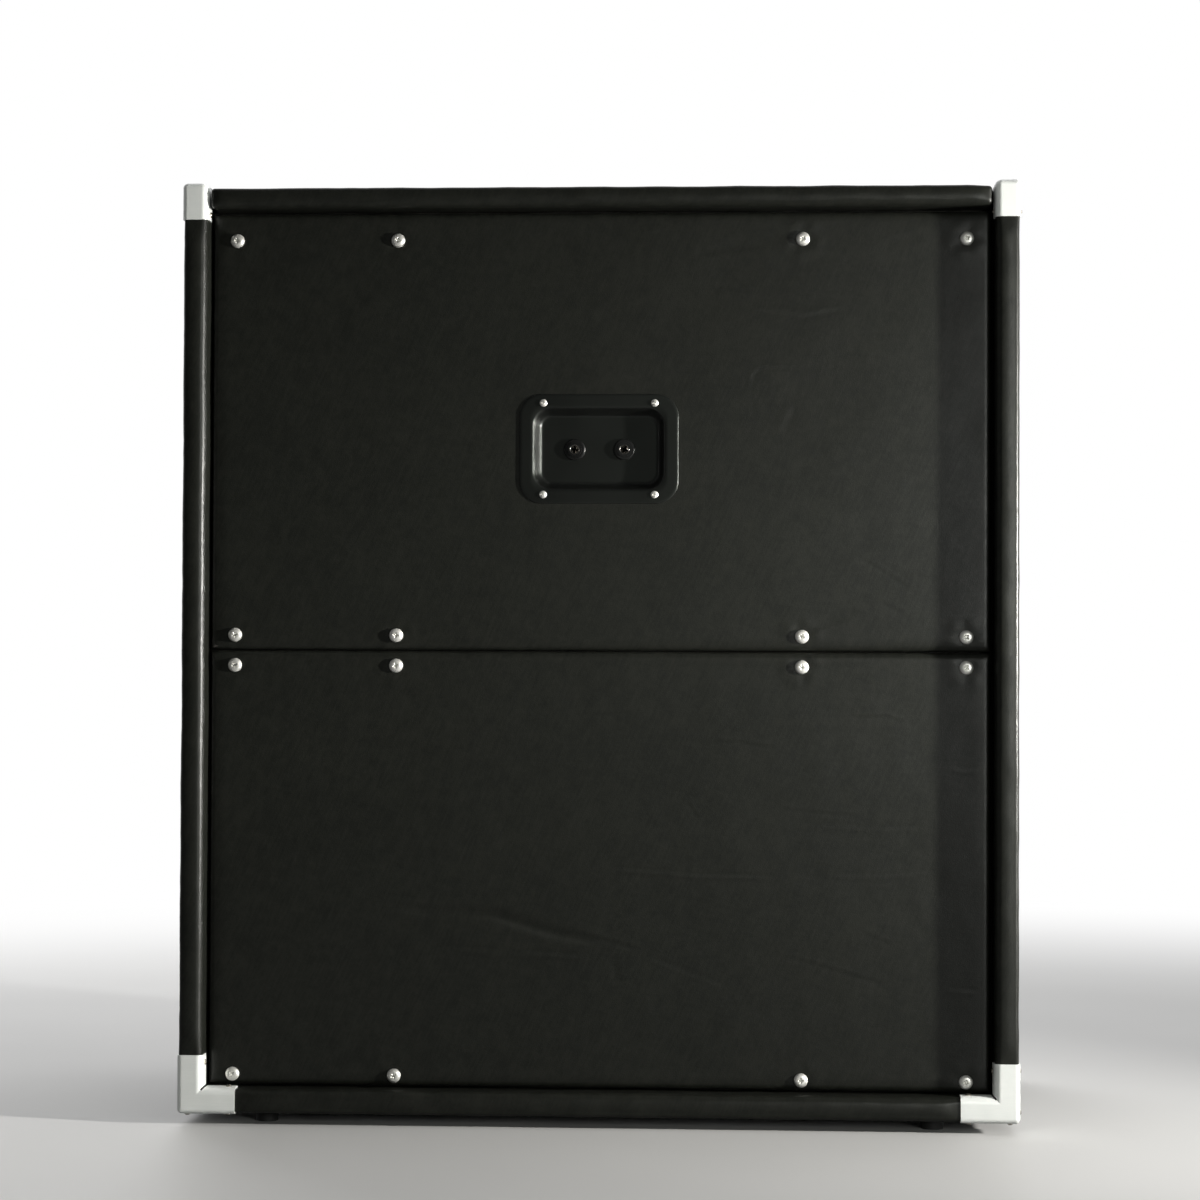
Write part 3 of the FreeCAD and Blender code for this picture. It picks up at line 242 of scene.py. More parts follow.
LOOKS = {
    "black_covering": finish(
        "black covering", "leather", 1.5 * MM, (0.0062, 0.0069, 0.0055), (0.0150, 0.0158, 0.0130), (0.38, 0.31),
        0.06 * MM, Specular_IOR_Level=0.28,
    ),
    "plywood": finish(
        "plywood", "wood", 6 * MM, (0.42, 0.29, 0.17), (0.66, 0.51, 0.34), (0.6, 0.75), 0.1 * MM,
    ),
    "stained_board": finish(
        "stained board", "wood", 5 * MM, (0.008, 0.007, 0.006), (0.03, 0.027, 0.024), (0.6, 0.75), 0.12 * MM,
    ),
    "softwood": finish(
        "softwood", "wood", 8 * MM, (0.48, 0.32, 0.17), (0.7, 0.54, 0.35), (0.6, 0.75), 0.1 * MM,
    ),
    "corner_metal": finish(
        "corner metal", "brushed", 0.5 * MM, (0.79, 0.815, 0.80), (0.87, 0.89, 0.87), (0.38, 0.48), 0.006 * MM,
        metal=0.2,
    ),
    "bright_zinc": finish(
        "bright zinc", "brushed", 0.4 * MM, (0.80, 0.79, 0.75), (0.97, 0.96, 0.92), (0.36, 0.44), 0.004 * MM,
        metal=0.75,
    ),
    "nickel_screw": finish(
        "nickel screw", "brushed", 0.4 * MM, (0.42, 0.39, 0.34), (0.62, 0.58, 0.52), (0.2, 0.32), 0.01 * MM, metal=1.0,
    ),
    "black_screw": finish(
        "black screw", "brushed", 0.5 * MM, (0.015, 0.015, 0.016), (0.05, 0.05, 0.052), (0.3, 0.45), 0.01 * MM,
        metal=0.6,
    ),
    "dish_paint": finish(
        "dish paint", "peel", 0.7 * MM, (0.0013, 0.0015, 0.0013), (0.0022, 0.0025, 0.0022), (0.38, 0.42), 0.008 * MM,
        Specular_IOR_Level=0.34, Specular_Tint=(0.92, 1.0, 0.92, 1), Coat_Weight=1.0, Coat_Roughness=0.06,
    ),
    "jack_plastic": finish(
        "jack plastic", "peel", 0.8 * MM, (0.003, 0.0032, 0.0031), (0.007, 0.0073, 0.0071), (0.22, 0.32), 0.008 * MM,
    ),
    "contact_metal": finish(
        "contact metal", "brushed", 0.4 * MM, (0.2, 0.19, 0.175), (0.42, 0.40, 0.37), (0.14, 0.3), 0.02 * MM,
        metal=1.0,
    ),
    "foot_rubber": finish(
        "foot rubber", "peel", 0.8 * MM, (0.008, 0.008, 0.008), (0.02, 0.02, 0.02), (0.6, 0.8), 0.03 * MM,
    ),
    "handle_plastic": finish(
        "handle plastic", "peel", 0.9 * MM, (0.010, 0.010, 0.0105), (0.02, 0.02, 0.021), (0.42, 0.55), 0.04 * MM,
    ),
    "grip_rubber": finish(
        "grip rubber", "peel", 1.2 * MM, (0.009, 0.009, 0.0095), (0.018, 0.018, 0.019), (0.5, 0.65), 0.03 * MM,
    ),
    "grille_cloth": finish(
        "grille cloth", "weave", 1.9 * MM, (0.004, 0.004, 0.004), (0.045, 0.045, 0.048), (0.75, 0.9), 0.35 * MM,
        Sheen_Weight=0.15,
    ),
    "hook_pad": finish(
        "hook pad", "fibres", 0.6 * MM, (0.01, 0.01, 0.01), (0.04, 0.04, 0.042), (0.85, 0.95), 0.3 * MM,
    ),
    "basket_paint": finish(
        "basket paint", "peel", 1.0 * MM, (0.012, 0.012, 0.013), (0.03, 0.03, 0.032), (0.25, 0.4), 0.02 * MM,
    ),
    "gasket_board": finish(
        "gasket board", "fibres", 0.8 * MM, (0.07, 0.055, 0.04), (0.16, 0.13, 0.1), (0.8, 0.92), 0.1 * MM,
    ),
    "motor_steel": finish(
        "motor steel", "brushed", 0.6 * MM, (0.55, 0.5, 0.34), (0.78, 0.72, 0.5), (0.25, 0.38), 0.01 * MM, metal=1.0,
    ),
    "ferrite": finish(
        "ferrite", "fibres", 1.0 * MM, (0.03, 0.03, 0.032), (0.07, 0.07, 0.073), (0.5, 0.7), 0.05 * MM,
    ),
    "soft_ring": finish(
        "soft ring", "weave", 0.9 * MM, (0.02, 0.016, 0.012), (0.09, 0.075, 0.055), (0.55, 0.75), 0.1 * MM,
    ),
    "terminal_board": finish(
        "terminal board", "fibres", 0.7 * MM, (0.11, 0.06, 0.03), (0.24, 0.14, 0.07), (0.45, 0.6), 0.03 * MM,
    ),
    "cone_paper": finish(
        "cone paper", "fibres", 1.2 * MM, (0.02, 0.019, 0.018), (0.06, 0.058, 0.054), (0.8, 0.95), 0.12 * MM,
    ),
    "lead_sheath": finish(
        "lead sheath", "peel", 0.8 * MM, (0.02, 0.005, 0.005), (0.06, 0.014, 0.012), (0.4, 0.55), 0.02 * MM,
    ),
}

for part in frame["record"]["subparts"]:
    mesh = nodes[part["node"]].data
    mesh.materials.clear()
    mesh.materials.append(LOOKS[part["material_slot"]])


# Mesh helpers

SAME_POINT = 0.002 * MM
SOLID_REACH = 16 * MM
TINY = 1e-9


def grid_quads(rows, columns, closed=False):
    """Corner numbers of the quads of a grid whose points are stored row by row."""
    numbers = np.arange(rows * columns).reshape(rows, columns)
    if closed:
        numbers = np.hstack([numbers, numbers[:, :1]])
    corners = (numbers[:-1, :-1], numbers[:-1, 1:], numbers[1:, 1:], numbers[1:, :-1])
    return np.stack(corners, -1).reshape(-1, 4)


def add_piece(name, points, quads, slot, *replaced, body="case"):
    """A smooth mesh object at the origin that stands for the CAD nodes it replaces."""
    used = np.unique(quads)
    renumber = np.zeros(len(points), np.int64)
    renumber[used] = np.arange(len(used))
    points, quads = points[used], renumber[quads]
    mesh = bpy.data.meshes.new(name)
    mesh.vertices.add(len(points))
    mesh.vertices.foreach_set("co", points.astype(np.float32).ravel())
    mesh.loops.add(quads.size)
    mesh.loops.foreach_set("vertex_index", quads.astype(np.int32).ravel())
    mesh.polygons.add(len(quads))
    mesh.polygons.foreach_set("loop_start", np.arange(0, quads.size, 4, dtype=np.int32))
    mesh.polygons.foreach_set("use_smooth", np.ones(len(quads), bool))
    mesh.update(calc_edges=True)
    mesh.validate()
    joined = bmesh.new()
    joined.from_mesh(mesh)
    bmesh.ops.remove_doubles(joined, verts=joined.verts, dist=SAME_POINT)
    joined.to_mesh(mesh)
    joined.free()
    mesh.materials.append(LOOKS[slot])
    made = bpy.data.objects.new(name, mesh)
    bpy.context.scene.collection.objects.link(made)
    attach(made, body)
    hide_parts(*replaced)
    return made


def waves(a, b, seed, size, count=9):
    """Slow unevenness of about unit height: the sum of count cosines cos(k . p + phase) / sqrt(count / 2),
    with |k| between 0.6 and 1.6 times 2 pi / size and directions and phases from a seeded generator."""
    random = np.random.default_rng(seed)
    turn = random.uniform(0, 2 * math.pi, count)
    pace = random.uniform(0.6, 1.6, count) * 2 * math.pi / size
    phase = random.uniform(0, 2 * math.pi, count)
    flat = np.multiply.outer(a, pace * np.cos(turn)) + np.multiply.outer(b, pace * np.sin(turn)) + phase
    return np.cos(flat).sum(-1) / math.sqrt(count / 2)


def smooth(value, low, high):
    """0 below low, 1 above high, 3t^2 - 2t^3 between."""
    t = np.clip((value - low) / (high - low), 0, 1)
    return t * t * (3 - 2 * t)


def round_loop(low, high, radii, step, arc=9):
    """A rounded rectangle from its corners' radii, in the order (-,-) (+,-) (+,+) (-,+).
    Returns its points and its outward normals: on an arc, centre + r (cos t, sin t)."""
    points, normals = [], []
    ends = [(low[0], low[1]), (high[0], low[1]), (high[0], high[1]), (low[0], high[1])]
    inward = [(1, 1), (-1, 1), (-1, -1), (1, -1)]
    for number, (corner, way, radius) in enumerate(zip(ends, inward, radii)):
        centre = np.array(corner) + radius * np.array(way)
        angle = math.pi + number * math.pi / 2 + np.linspace(0, math.pi / 2, arc)
        facing = np.stack([np.cos(angle), np.sin(angle)], -1)
        bend = centre + radius * facing
        after = (number + 1) % 4
        next_centre = np.array(ends[after]) + radii[after] * np.array(inward[after])
        next_start = next_centre + radii[after] * facing[-1]
        gap = np.linalg.norm(next_start - bend[-1])
        between = np.linspace(0, 1, max(10, int(gap / step)) + 1)[1:-1, None]
        straight = bend[-1] + between * (next_start - bend[-1])
        points += [bend, straight]
        normals += [facing, np.repeat(facing[-1:], len(straight), 0)]
    return np.vstack(points), np.vstack(normals)


def swept_board(loop, normals, crown, bare, end, end_round, axis_order, step, seed):
    """The covering of a board: a rounded loop swept along a line from end[0] to end[1], which may differ from
    point to point of the loop. Near each end the loop draws in by r (1 - cos t) while it moves on by r sin t,
    and then closes on the board's middle line. The surface is moved out by RIM_LIFT times waves(), and between the
    two places in bare, where no metal holds it, by crown."""
    half = (loop.max(0) - loop.min(0)) / 2
    middle = (loop.max(0) + loop.min(0)) / 2
    thick = half.min()
    reach = np.maximum(half - thick, 0)
    spine = middle + np.clip(loop - middle, -reach, reach)
    turn = np.linspace(0, math.pi / 2, BEND_STEPS)
    count = int(float(np.min(end[1]) - np.max(end[0])) / step)
    share = np.linspace(0, 1, count)[:, None]
    rows, places = [], []
    straight = (end[0] + end_round) + share * ((end[1] - end_round) - (end[0] + end_round))
    for side, sign in ((0, -1), (1, 1)):
        base = end[side] - sign * end_round
        bent_place = base + sign * np.sin(turn[1:, None]) * end_round
        bent_loop = loop - (1 - np.cos(turn[1:, None, None])) * end_round[:, None] * normals
        edge = bent_loop[-1]
        shut_loop = edge + CLOSING[:, None, None] * (spine - edge)
        shut_place = np.repeat(end[side][None], len(CLOSING), 0)
        places.append(np.vstack([bent_place, shut_place]))
        rows.append(np.vstack([bent_loop, shut_loop]))
    flat = np.repeat(loop[None], count, 0)
    along = np.cumsum(np.linalg.norm(np.diff(loop, axis=0, prepend=loop[-1:]), axis=1))
    along = np.broadcast_to(along, straight.shape)
    uneven = waves(straight, along, seed, WIDE_WAVE) + FINE_SHARE * waves(straight, along, seed + 1, FINE_WAVE)
    ease = smooth(np.minimum(share, 1 - share), 0, END_SHARE)
    flat = flat + (RIM_LIFT * uneven * ease)[..., None] * normals
    proud = smooth(straight - bare[0], 0, CROWN_EASE) * smooth(bare[1] - straight, 0, CROWN_EASE)
    flat = flat + proud[..., None] * crown
    place = np.vstack([places[0][::-1], straight, places[1]])
    section = np.concatenate([rows[0][::-1], flat, rows[1]], 0)
    stacked = np.concatenate([section, place[..., None]], -1)
    return stacked[..., axis_order].reshape(-1, 3), len(place), loop.shape[0]


# Covered boards of the case

EDGE_ROUND, INNER_ROUND = 3 * MM, 5 * MM
INNER_END_ROUND, FLAT_END_ROUND = 1.2 * MM, 0.6 * MM
LOOP_STEP, SWEEP_STEP = 7 * MM, 6 * MM
BEND_STEPS = 6
CLOSING = np.array([0.35, 0.7, 1.0])  # shares of the way from a board's end edge to its middle line
RIM_LIFT, WIDE_WAVE, FINE_WAVE, FINE_SHARE, END_SHARE = 0.11 * MM, 0.07, 0.022, 0.6, 0.04
CROWN, CROWN_EASE, CROWN_START, CROWN_FULL = 1.9 * MM, 14 * MM, 6 * MM, 2 * MM
ON_FACE, NEAR_FACE = 1 * MM, 2 * MM
INNER_REACH = 0.165  # how far from the middle a side board's inner face has nearly square ends
BARE_MARGIN = 12 * MM  # covering kept at the ends of a side board's bare stretch
HANDLE_LAP = 12 * MM  # covering kept under the rim of a handle's dish
REAR_RIM, FRONT_RIM = (0.146, 0.158), (0.149, 0.161)  # where the rims begin, from the middle outwards
TOP_GAP, TOP_HOLD = 3.2 * MM, 2 * MM
SAG, SAG_RIGHT, SAG_REAR = 0.8 * MM, (0.312, 0.334), (0.150, 0.172)  # the top's end hangs a little at the right rear
INSIDE_REAR = span("upper_back_board")[1][1]
INSIDE_FRONT = span("baffle_board")[1][1]
CAP_EDGE = span("rear_right_upper_cap")[0][2]
CORNER_EDGE = span("rear_right_lower_corner")


def crowned(loop, across, depth):
    """How far the covering stands proud on the board's two narrow faces: CROWN (1 - u^2), u from -1 to 1 across."""
    middle = (loop.max(0) + loop.min(0)) / 2
    half = (loop.max(0) - loop.min(0)) / 2
    u, v = ((loop - middle) / half)[:, [across, depth]].T
    narrow = smooth(np.abs(v) * half[depth], half[depth] - CROWN_START, half[depth] - CROWN_FULL)
    crown = np.zeros_like(loop)
    crown[:, depth] = np.sign(v) * CROWN * (1 - u ** 2) * narrow
    return crown


def bare_inside(corners, axis, inner):
    """Which quads lie on a board's inner face between the back boards and the baffle."""
    bare = np.abs(corners[..., axis] - inner) < ON_FACE
    return (bare & (corners[..., 1] > INSIDE_REAR) & (corners[..., 1] < INSIDE_FRONT)).all(1)


def side_covering(name, sign):
    """A side board's covering, open on the bare stretch inside the case and under the handle's dish."""
    low, high = span(f"{name}_side_covering")
    radii = [INNER_ROUND, EDGE_ROUND, EDGE_ROUND, INNER_ROUND]
    if sign < 0:
        radii = [EDGE_ROUND, INNER_ROUND, INNER_ROUND, EDGE_ROUND]
    loop, normals = round_loop(low[:2], high[:2], radii, LOOP_STEP)
    inner_x = low[0] if sign > 0 else high[0]
    inner = (np.abs(loop[:, 0] - inner_x) < NEAR_FACE) & (np.abs(loop[:, 1]) < INNER_REACH)
    end_round = np.where(inner, INNER_END_ROUND, EDGE_ROUND)
    ones = np.ones(len(loop))
    points, rows, columns = swept_board(
        loop, normals, crowned(loop, 0, 1), (CORNER_EDGE[1][2], CAP_EDGE), (low[2] * ones, high[2] * ones), end_round,
        [0, 1, 2], SWEEP_STEP, 11 if sign > 0 else 23,
    )
    quads = grid_quads(rows, columns, closed=True)
    corners = points[quads]
    bare = bare_inside(corners, 0, inner_x)
    bare &= ((corners[..., 2] > low[2] + BARE_MARGIN) & (corners[..., 2] < high[2] - BARE_MARGIN)).all(1)
    dish_low, dish_high = span(f"{name}_handle_dish")
    half = (dish_high - dish_low)[1:] / 2 - HANDLE_LAP
    middle = (dish_high + dish_low)[1:] / 2
    outer_x = high[0] if sign > 0 else low[0]
    hole = (np.abs(corners[..., 0] - outer_x) < ON_FACE) & (np.abs(corners[..., 1:] - middle) < half).all(-1)
    keep = ~bare & ~hole.any(1)
    add_piece(f"{name}_side_vinyl", points, quads[keep], "black_covering", f"{name}_side_covering")


def level_covering(name, upper, gap, seed):
    """The top or bottom board's covering; the top's rims stop short of the metal caps with rounded ends."""
    low, high = span(f"{name}_covering")
    radii = [INNER_ROUND, INNER_ROUND, EDGE_ROUND, EDGE_ROUND]
    if not upper:
        radii = [EDGE_ROUND, EDGE_ROUND, INNER_ROUND, INNER_ROUND]
    loop, normals = round_loop(low[1:], high[1:], radii, LOOP_STEP)
    side = span("right_side_covering")[0][0]
    rim = np.maximum(smooth(-loop[:, 0], *REAR_RIM), smooth(loop[:, 0], *FRONT_RIM))
    end = side - gap * rim
    end_round = FLAT_END_ROUND + (EDGE_ROUND - FLAT_END_ROUND) * rim * (1.0 if upper else 0.0)
    held = side - TOP_HOLD if upper else CORNER_EDGE[0][0]
    points, rows, columns = swept_board(
        loop, normals, crowned(loop, 1, 0), (-held, held), (-end, end), end_round, [2, 0, 1], SWEEP_STEP, seed,
    )
    if upper:
        sag = smooth(points[:, 0], *SAG_RIGHT) * smooth(-points[:, 1], *SAG_REAR)
        points[:, 2] -= sag * SAG * smooth(points[:, 2], low[2], high[2])
    quads = grid_quads(rows, columns, closed=True)
    bare = bare_inside(points[quads], 2, low[2] if upper else high[2])
    add_piece(f"{name}_vinyl", points, quads[~bare], "black_covering", f"{name}_covering")


side_covering("right", 1)
side_covering("left", -1)
level_covering("top", True, TOP_GAP, 31)
level_covering("bottom", False, 0.0, 47)


# Covered back boards and the grille


def tray(low, high, facing, edge, step, relief):
    """A sheet over a board's face and round its edges. Inside the edges it is a grid moved out by relief(x, z).
    From there each ring goes out by r sin t and back by r (1 - cos t), then straight back along the board's edge."""
    depth = high[1] - low[1]
    face_y = low[1] if facing < 0 else high[1]
    xs = np.linspace(low[0] + edge, high[0] - edge, int((high[0] - low[0]) / step))
    zs = np.linspace(low[2] + edge, high[2] - edge, int((high[2] - low[2]) / step))
    x, z = np.meshgrid(xs, zs)
    out = relief(x, z)
    points = [np.stack([x, face_y + facing * out, z], -1).reshape(-1, 3)]
    quads = [grid_quads(len(zs), len(xs))]
    number = np.arange(len(zs) * len(xs)).reshape(len(zs), len(xs))
    rim = np.concatenate([number[0], number[1:, -1], number[-1, -2::-1], number[-2:0:-1, 0]])
    base = points[0][rim]
    away = np.stack([
        (base[:, axis] > line[-1] - TINY) * 1.0 - (base[:, axis] < line[0] + TINY) for axis, line in ((0, xs), (2, zs))
    ], -1)
    turn = np.linspace(0, math.pi / 2, 7)[1:]
    straight = 3
    outs = np.concatenate([edge * np.sin(turn), np.full(straight, edge)])
    backs = np.concatenate([edge * (1 - np.cos(turn)), np.linspace(edge, depth, straight + 1)[1:]])
    kept = np.concatenate([np.cos(turn), np.zeros(straight)])
    before = rim
    total = len(points[0])
    for go, back, keep in zip(outs, backs, kept):
        ring = base.copy()
        ring[:, [0, 2]] += away * go
        ring[:, 1] = face_y - facing * back + (base[:, 1] - face_y) * keep
        fresh = total + np.arange(len(ring))
        quads.append(np.stack([before, fresh, np.roll(fresh, -1), np.roll(before, -1)], -1))
        points.append(ring)
        before = fresh
        total += len(ring)
    quads = np.vstack(quads)
    if facing > 0:
        quads = quads[:, ::-1]
    return np.vstack(points), quads


def crease(x, z, path, width, fold, step):
    """A crease along a path, with n the distance to the left of it and w its width: a fold f exp(-(n / w)^2), twice
    as wide on the left, and a step s (n / w) exp(-(n / w)^2). It fades out over a fifth of its length at each end."""
    path = np.array(path) * MM
    steps = np.diff(path, axis=0)
    lengths = np.linalg.norm(steps, axis=1)
    starts = np.concatenate([[0], np.cumsum(lengths)])
    nearest, left, along = np.full(x.shape, 1.0), np.zeros(x.shape), np.zeros(x.shape)
    for (sx, sz), (dx, dz), length, start in zip(path[:-1], steps, lengths, starts):
        share = np.clip(((x - sx) * dx + (z - sz) * dz) / length ** 2, 0, 1)
        off_x, off_z = x - sx - share * dx, z - sz - share * dz
        away = np.hypot(off_x, off_z)
        closer = away < nearest
        left = np.where(closer, dx * off_z - dz * off_x, left)
        along = np.where(closer, start + share * length, along)
        nearest = np.where(closer, away, nearest)
    share = along / starts[-1]
    fade = smooth(share, 0, 0.2) * smooth(1 - share, 0, 0.2)
    ratio = np.sign(left) * nearest / (width * MM)
    raised = fold * np.exp(-np.where(ratio > 0, ratio / 2, ratio) ** 2) + step * ratio * np.exp(-ratio ** 2)
    return raised * fade * MM


def screw_dimples(x, z, centres):
    """Covering drawn in under each screw head, with a low puckered ring round it. At d and a from screw number k it
    is -0.35 exp(-(d / 7)^2) + 0.16 exp(-((d - 13) / 6)^2) (1 + 0.5 cos(5 a + k)), in millimetres."""
    total = np.zeros_like(x)
    for number, (cx, cz) in enumerate(centres):
        d = np.hypot(x - cx, z - cz) / MM
        a = np.arctan2(z - cz, x - cx)
        ring = 0.16 * np.exp(-((d - 13) / 6) ** 2) * (1 + 0.5 * np.cos(5 * a + number))
        total += (ring - 0.35 * np.exp(-(d / 7) ** 2)) * MM
    return total


def solid_middles(node_name, count):
    """The middles of a node's like solids, told apart by their place in x and z."""
    mesh = nodes[node_name].data
    flat = np.zeros(len(mesh.vertices) * 3, np.float32)
    mesh.vertices.foreach_get("co", flat)
    place = flat.reshape(-1, 3)[:, [0, 2]]
    middles = []
    while len(place) and len(middles) < count:
        near = np.abs(place - place[0]).max(1) < SOLID_REACH
        middles.append((place[near].min(0) + place[near].max(0)) / 2)
        place = place[~near]
    return middles


BACK_SCREWS = solid_middles("back_screws", 16)
SEAM_GROWTH = 0.1 * MM
BACK_EDGE, BACK_STEP = 5.5 * MM, 1.75 * MM
BACK_WAVES = ((0.09 * MM, 0.16), (0.03 * MM, 0.05))  # heights and lengths
RIPPLE, RIPPLE_LENGTH, RIPPLE_SQUASH, RIPPLE_COUNT = 0.008 * MM, 0.018, 2.2, 14
CALM_EDGE = (4 * MM, 16 * MM)
ROLL_DROP, SIDE_ROLL, TOP_ROLL, BOTTOM_ROLL, RIGHT_SHARE = 1.3 * MM, 15 * MM, 9 * MM, 11 * MM, 0.2
DISH_LAP = 9 * MM

# The creases as crease() takes them: path, width, fold and step, in millimetres.
UPPER_CREASES = [
    ([(122, 698), (151, 697), (176, 694), (196, 698), (214, 702)], 2.8, 0.0, 0.26),
    ([(78, 747), (105, 751), (136, 755), (156, 753)], 3.5, -0.16, 0.0),
    ([(129, 629), (131, 643), (137, 649), (158, 650), (180, 649)], 1.9, 0.0, 0.23),
    ([(154, 592), (163, 610), (167, 620)], 4.2, 0.0, 0.17),
    ([(134, 553), (152, 551), (172, 552)], 1.9, 0.0, -0.19),
    ([(216, 664), (238, 662), (256, 661)], 2.0, 0.0, -0.11),
    ([(220, 491), (257, 467), (274, 456)], 1.9, 0.0, 0.15),
    ([(240, 451), (255, 443), (269, 434)], 2.4, 0.0, 0.13),
    ([(296, 438), (312, 437), (327, 437)], 2.0, 0.0, -0.15),
    ([(180, 424), (201, 430), (224, 438)], 4.0, 0.0, -0.28),
    ([(-22, 664), (-2, 663), (16, 664)], 1.9, 0.0, -0.11),
    ([(52, 440), (70, 439), (88, 440)], 1.9, 0.0, 0.11),
    ([(234, 753), (256, 761), (276, 766)], 4.0, 0.0, 0.07),
    ([(36, 762), (44, 765), (54, 767)], 3.0, 0.0, 0.19),
    ([(180, 742), (205, 733), (222, 728)], 5.0, 0.0, -0.15),
    ([(-330, 690), (-312, 705), (-300, 712)], 4.0, 0.0, 0.13),
    ([(-255, 470), (-228, 462), (-205, 470)], 6.0, 0.0, -0.11),
]
LOWER_CREASES = [
    (
        [(-182, 186), (-148, 182), (-110, 180), (-88, 179), (-66, 172), (-42, 165), (-16, 160), (12, 155)],
        2.8, -0.94, 0.0,
    ),
    ([(-25, 168), (0, 162), (20, 157), (40, 152)], 2.4, 0.0, 0.27),
    ([(-156, 148), (-123, 151), (-82, 148), (-42, 147), (2, 144)], 2.2, 0.0, -0.36),
    ([(11, 147), (15, 134), (17, 120)], 2.6, -0.16, 0.0),
    ([(-186, 193), (-166, 193), (-146, 190)], 2.2, 0.0, -0.22),
    ([(6, 220), (49, 218), (85, 215), (120, 215), (160, 213)], 1.9, 0.0, -0.27),
    ([(-28, 353), (14, 353), (38, 357)], 1.9, 0.0, 0.17),
    ([(212, 352), (247, 352), (266, 346)], 1.9, 0.0, 0.2),
    ([(93, 329), (120, 330), (158, 324)], 2.4, 0.0, 0.17),
    ([(78, 278), (82, 271), (87, 264)], 2.0, 0.0, 0.24),
    ([(148, 274), (190, 270), (230, 267)], 2.0, 0.0, 0.14),
    ([(184, 258), (240, 256), (286, 257)], 2.2, 0.0, -0.14),
    ([(190, 216), (240, 216), (290, 219)], 2.2, 0.0, -0.14),
    ([(-218, 217), (-212, 219), (-205, 218)], 3.0, 0.0, -0.22),
    ([(-252, 210), (-247, 211), (-241, 210)], 2.5, 0.0, -0.2),
    ([(159, 149), (222, 131), (250, 124)], 2.6, 0.0, 0.18),
    ([(224, 169), (240, 163), (255, 157)], 2.4, 0.0, 0.16),
    ([(296, 121), (310, 119), (325, 118)], 2.2, 0.0, -0.2),
    ([(40, 146), (76, 132), (114, 119)], 3.0, 0.0, -0.18),
    ([(300, 308), (314, 306), (328, 307)], 2.2, 0.0, -0.2),
    ([(-196, 84), (-180, 80), (-160, 82)], 6.0, 0.0, -0.22),
]


def roll(inside, width):
    """A rolled edge's drop, (1 - d / w)^2 at d inside the edge and 0 from w on."""
    return np.clip(1 - inside / width, 0, 1) ** 2


def back_covering(name, creases, seed):
    """A back board's covering with its creases, its pull at the screws, its slow waves and its rolled edges.
    It meets the other one at the seam between the boards."""
    low, high = span(f"{name}_back_covering")
    if name == "upper":
        low[2] -= SEAM_GROWTH
    else:
        high[2] += SEAM_GROWTH

    def relief(x, z):
        edge = np.minimum(np.minimum(x - low[0], high[0] - x), np.minimum(z - low[2], high[2] - z))
        calm = smooth(edge, *CALM_EDGE)
        out = np.zeros_like(x)
        for number, (height, length) in enumerate(BACK_WAVES):
            out += height * waves(x, z, seed + number, length)
        out += RIPPLE * waves(x, z * RIPPLE_SQUASH, seed + 2, RIPPLE_LENGTH, RIPPLE_COUNT)
        for one in creases:
            out += crease(x, z, *one)
        drop = roll(x - low[0], SIDE_ROLL) + RIGHT_SHARE * roll(high[0] - x, SIDE_ROLL)
        drop += roll(high[2] - z, TOP_ROLL) + roll(z - low[2], BOTTOM_ROLL)
        return out * calm - ROLL_DROP * drop + screw_dimples(x, z, BACK_SCREWS)

    points, quads = tray(low, high, -1, BACK_EDGE, BACK_STEP, relief)
    dish_low, dish_high = span("jack_dish")
    middle = (dish_low + dish_high)[[0, 2]] / 2
    half = (dish_high - dish_low)[[0, 2]] / 2 - DISH_LAP
    hole = (np.abs(points[quads][..., [0, 2]] - middle) < half).all(-1).any(1)
    add_piece(f"{name}_back_vinyl", points, quads[~hole], "black_covering", f"{name}_back_covering")


back_covering("upper", UPPER_CREASES, 61)
back_covering("lower", LOWER_CREASES, 73)


def end_cap(count):
    """Quads that close a ring of an even number of points with strips across it."""
    near = np.arange(count // 2 - 1)
    return np.stack([near, near + 1, count - 2 - near, count - 1 - near], -1)


def pan_screws():
    """The back boards' screws. With R the head's radius, its top stands at e + (h - e) sqrt(1 - (r / R)^4), less a
    cross recess turned another way on every screw; its rim, its seat, the shank and the point follow."""
    top = span("back_screws")[0][1]
    big, tall, rim, shank, hub = 6.0, 3.6, 0.9, 2.5, 0.1
    bar_half, bar_reach, recess, next_turn = 0.75, 2.2, 1.7, 1.9
    inner = np.concatenate([np.linspace(hub, 3.4, 13), [3.8, 4.2, 4.6, 5.0, 5.3, 5.6, 5.8, 5.9, 5.97, big]])
    radius = np.concatenate([inner, [big, shank, shank, hub]])[:, None]
    level = np.concatenate([rim + (tall - rim) * np.sqrt(1 - (inner / big) ** 4), [0.0, 0.0, -29.0, -34.0]])[:, None]
    angle = np.linspace(0, 2 * math.pi, 64, endpoint=False)
    cap = end_cap(len(angle))
    sides = grid_quads(len(radius), len(angle), closed=True)[:, ::-1]
    one = np.vstack([sides, cap, (len(radius) - 1) * len(angle) + cap[:, ::-1]])
    points, quads = [], []
    for number, (cx, cz) in enumerate(BACK_SCREWS):
        across = radius * np.cos(angle + next_turn * number)
        along = radius * np.sin(angle + next_turn * number)
        bars = [
            smooth(bar_half - np.abs(a), 0, 0.4) * smooth(bar_reach - np.abs(b), 0, 0.7)
            for a, b in ((across, along), (along, across))
        ]
        high = level - recess * np.maximum(*bars) * (level > rim)
        x, z = cx + radius * np.cos(angle) * MM, cz + radius * np.sin(angle) * MM
        points.append(np.stack([x, top + (tall - high) * MM, z], -1).reshape(-1, 3))
        quads.append(one + number * high.size)
    add_piece("pan_screws", np.vstack(points), np.vstack(quads), "bright_zinc", "back_screws")


pan_screws()


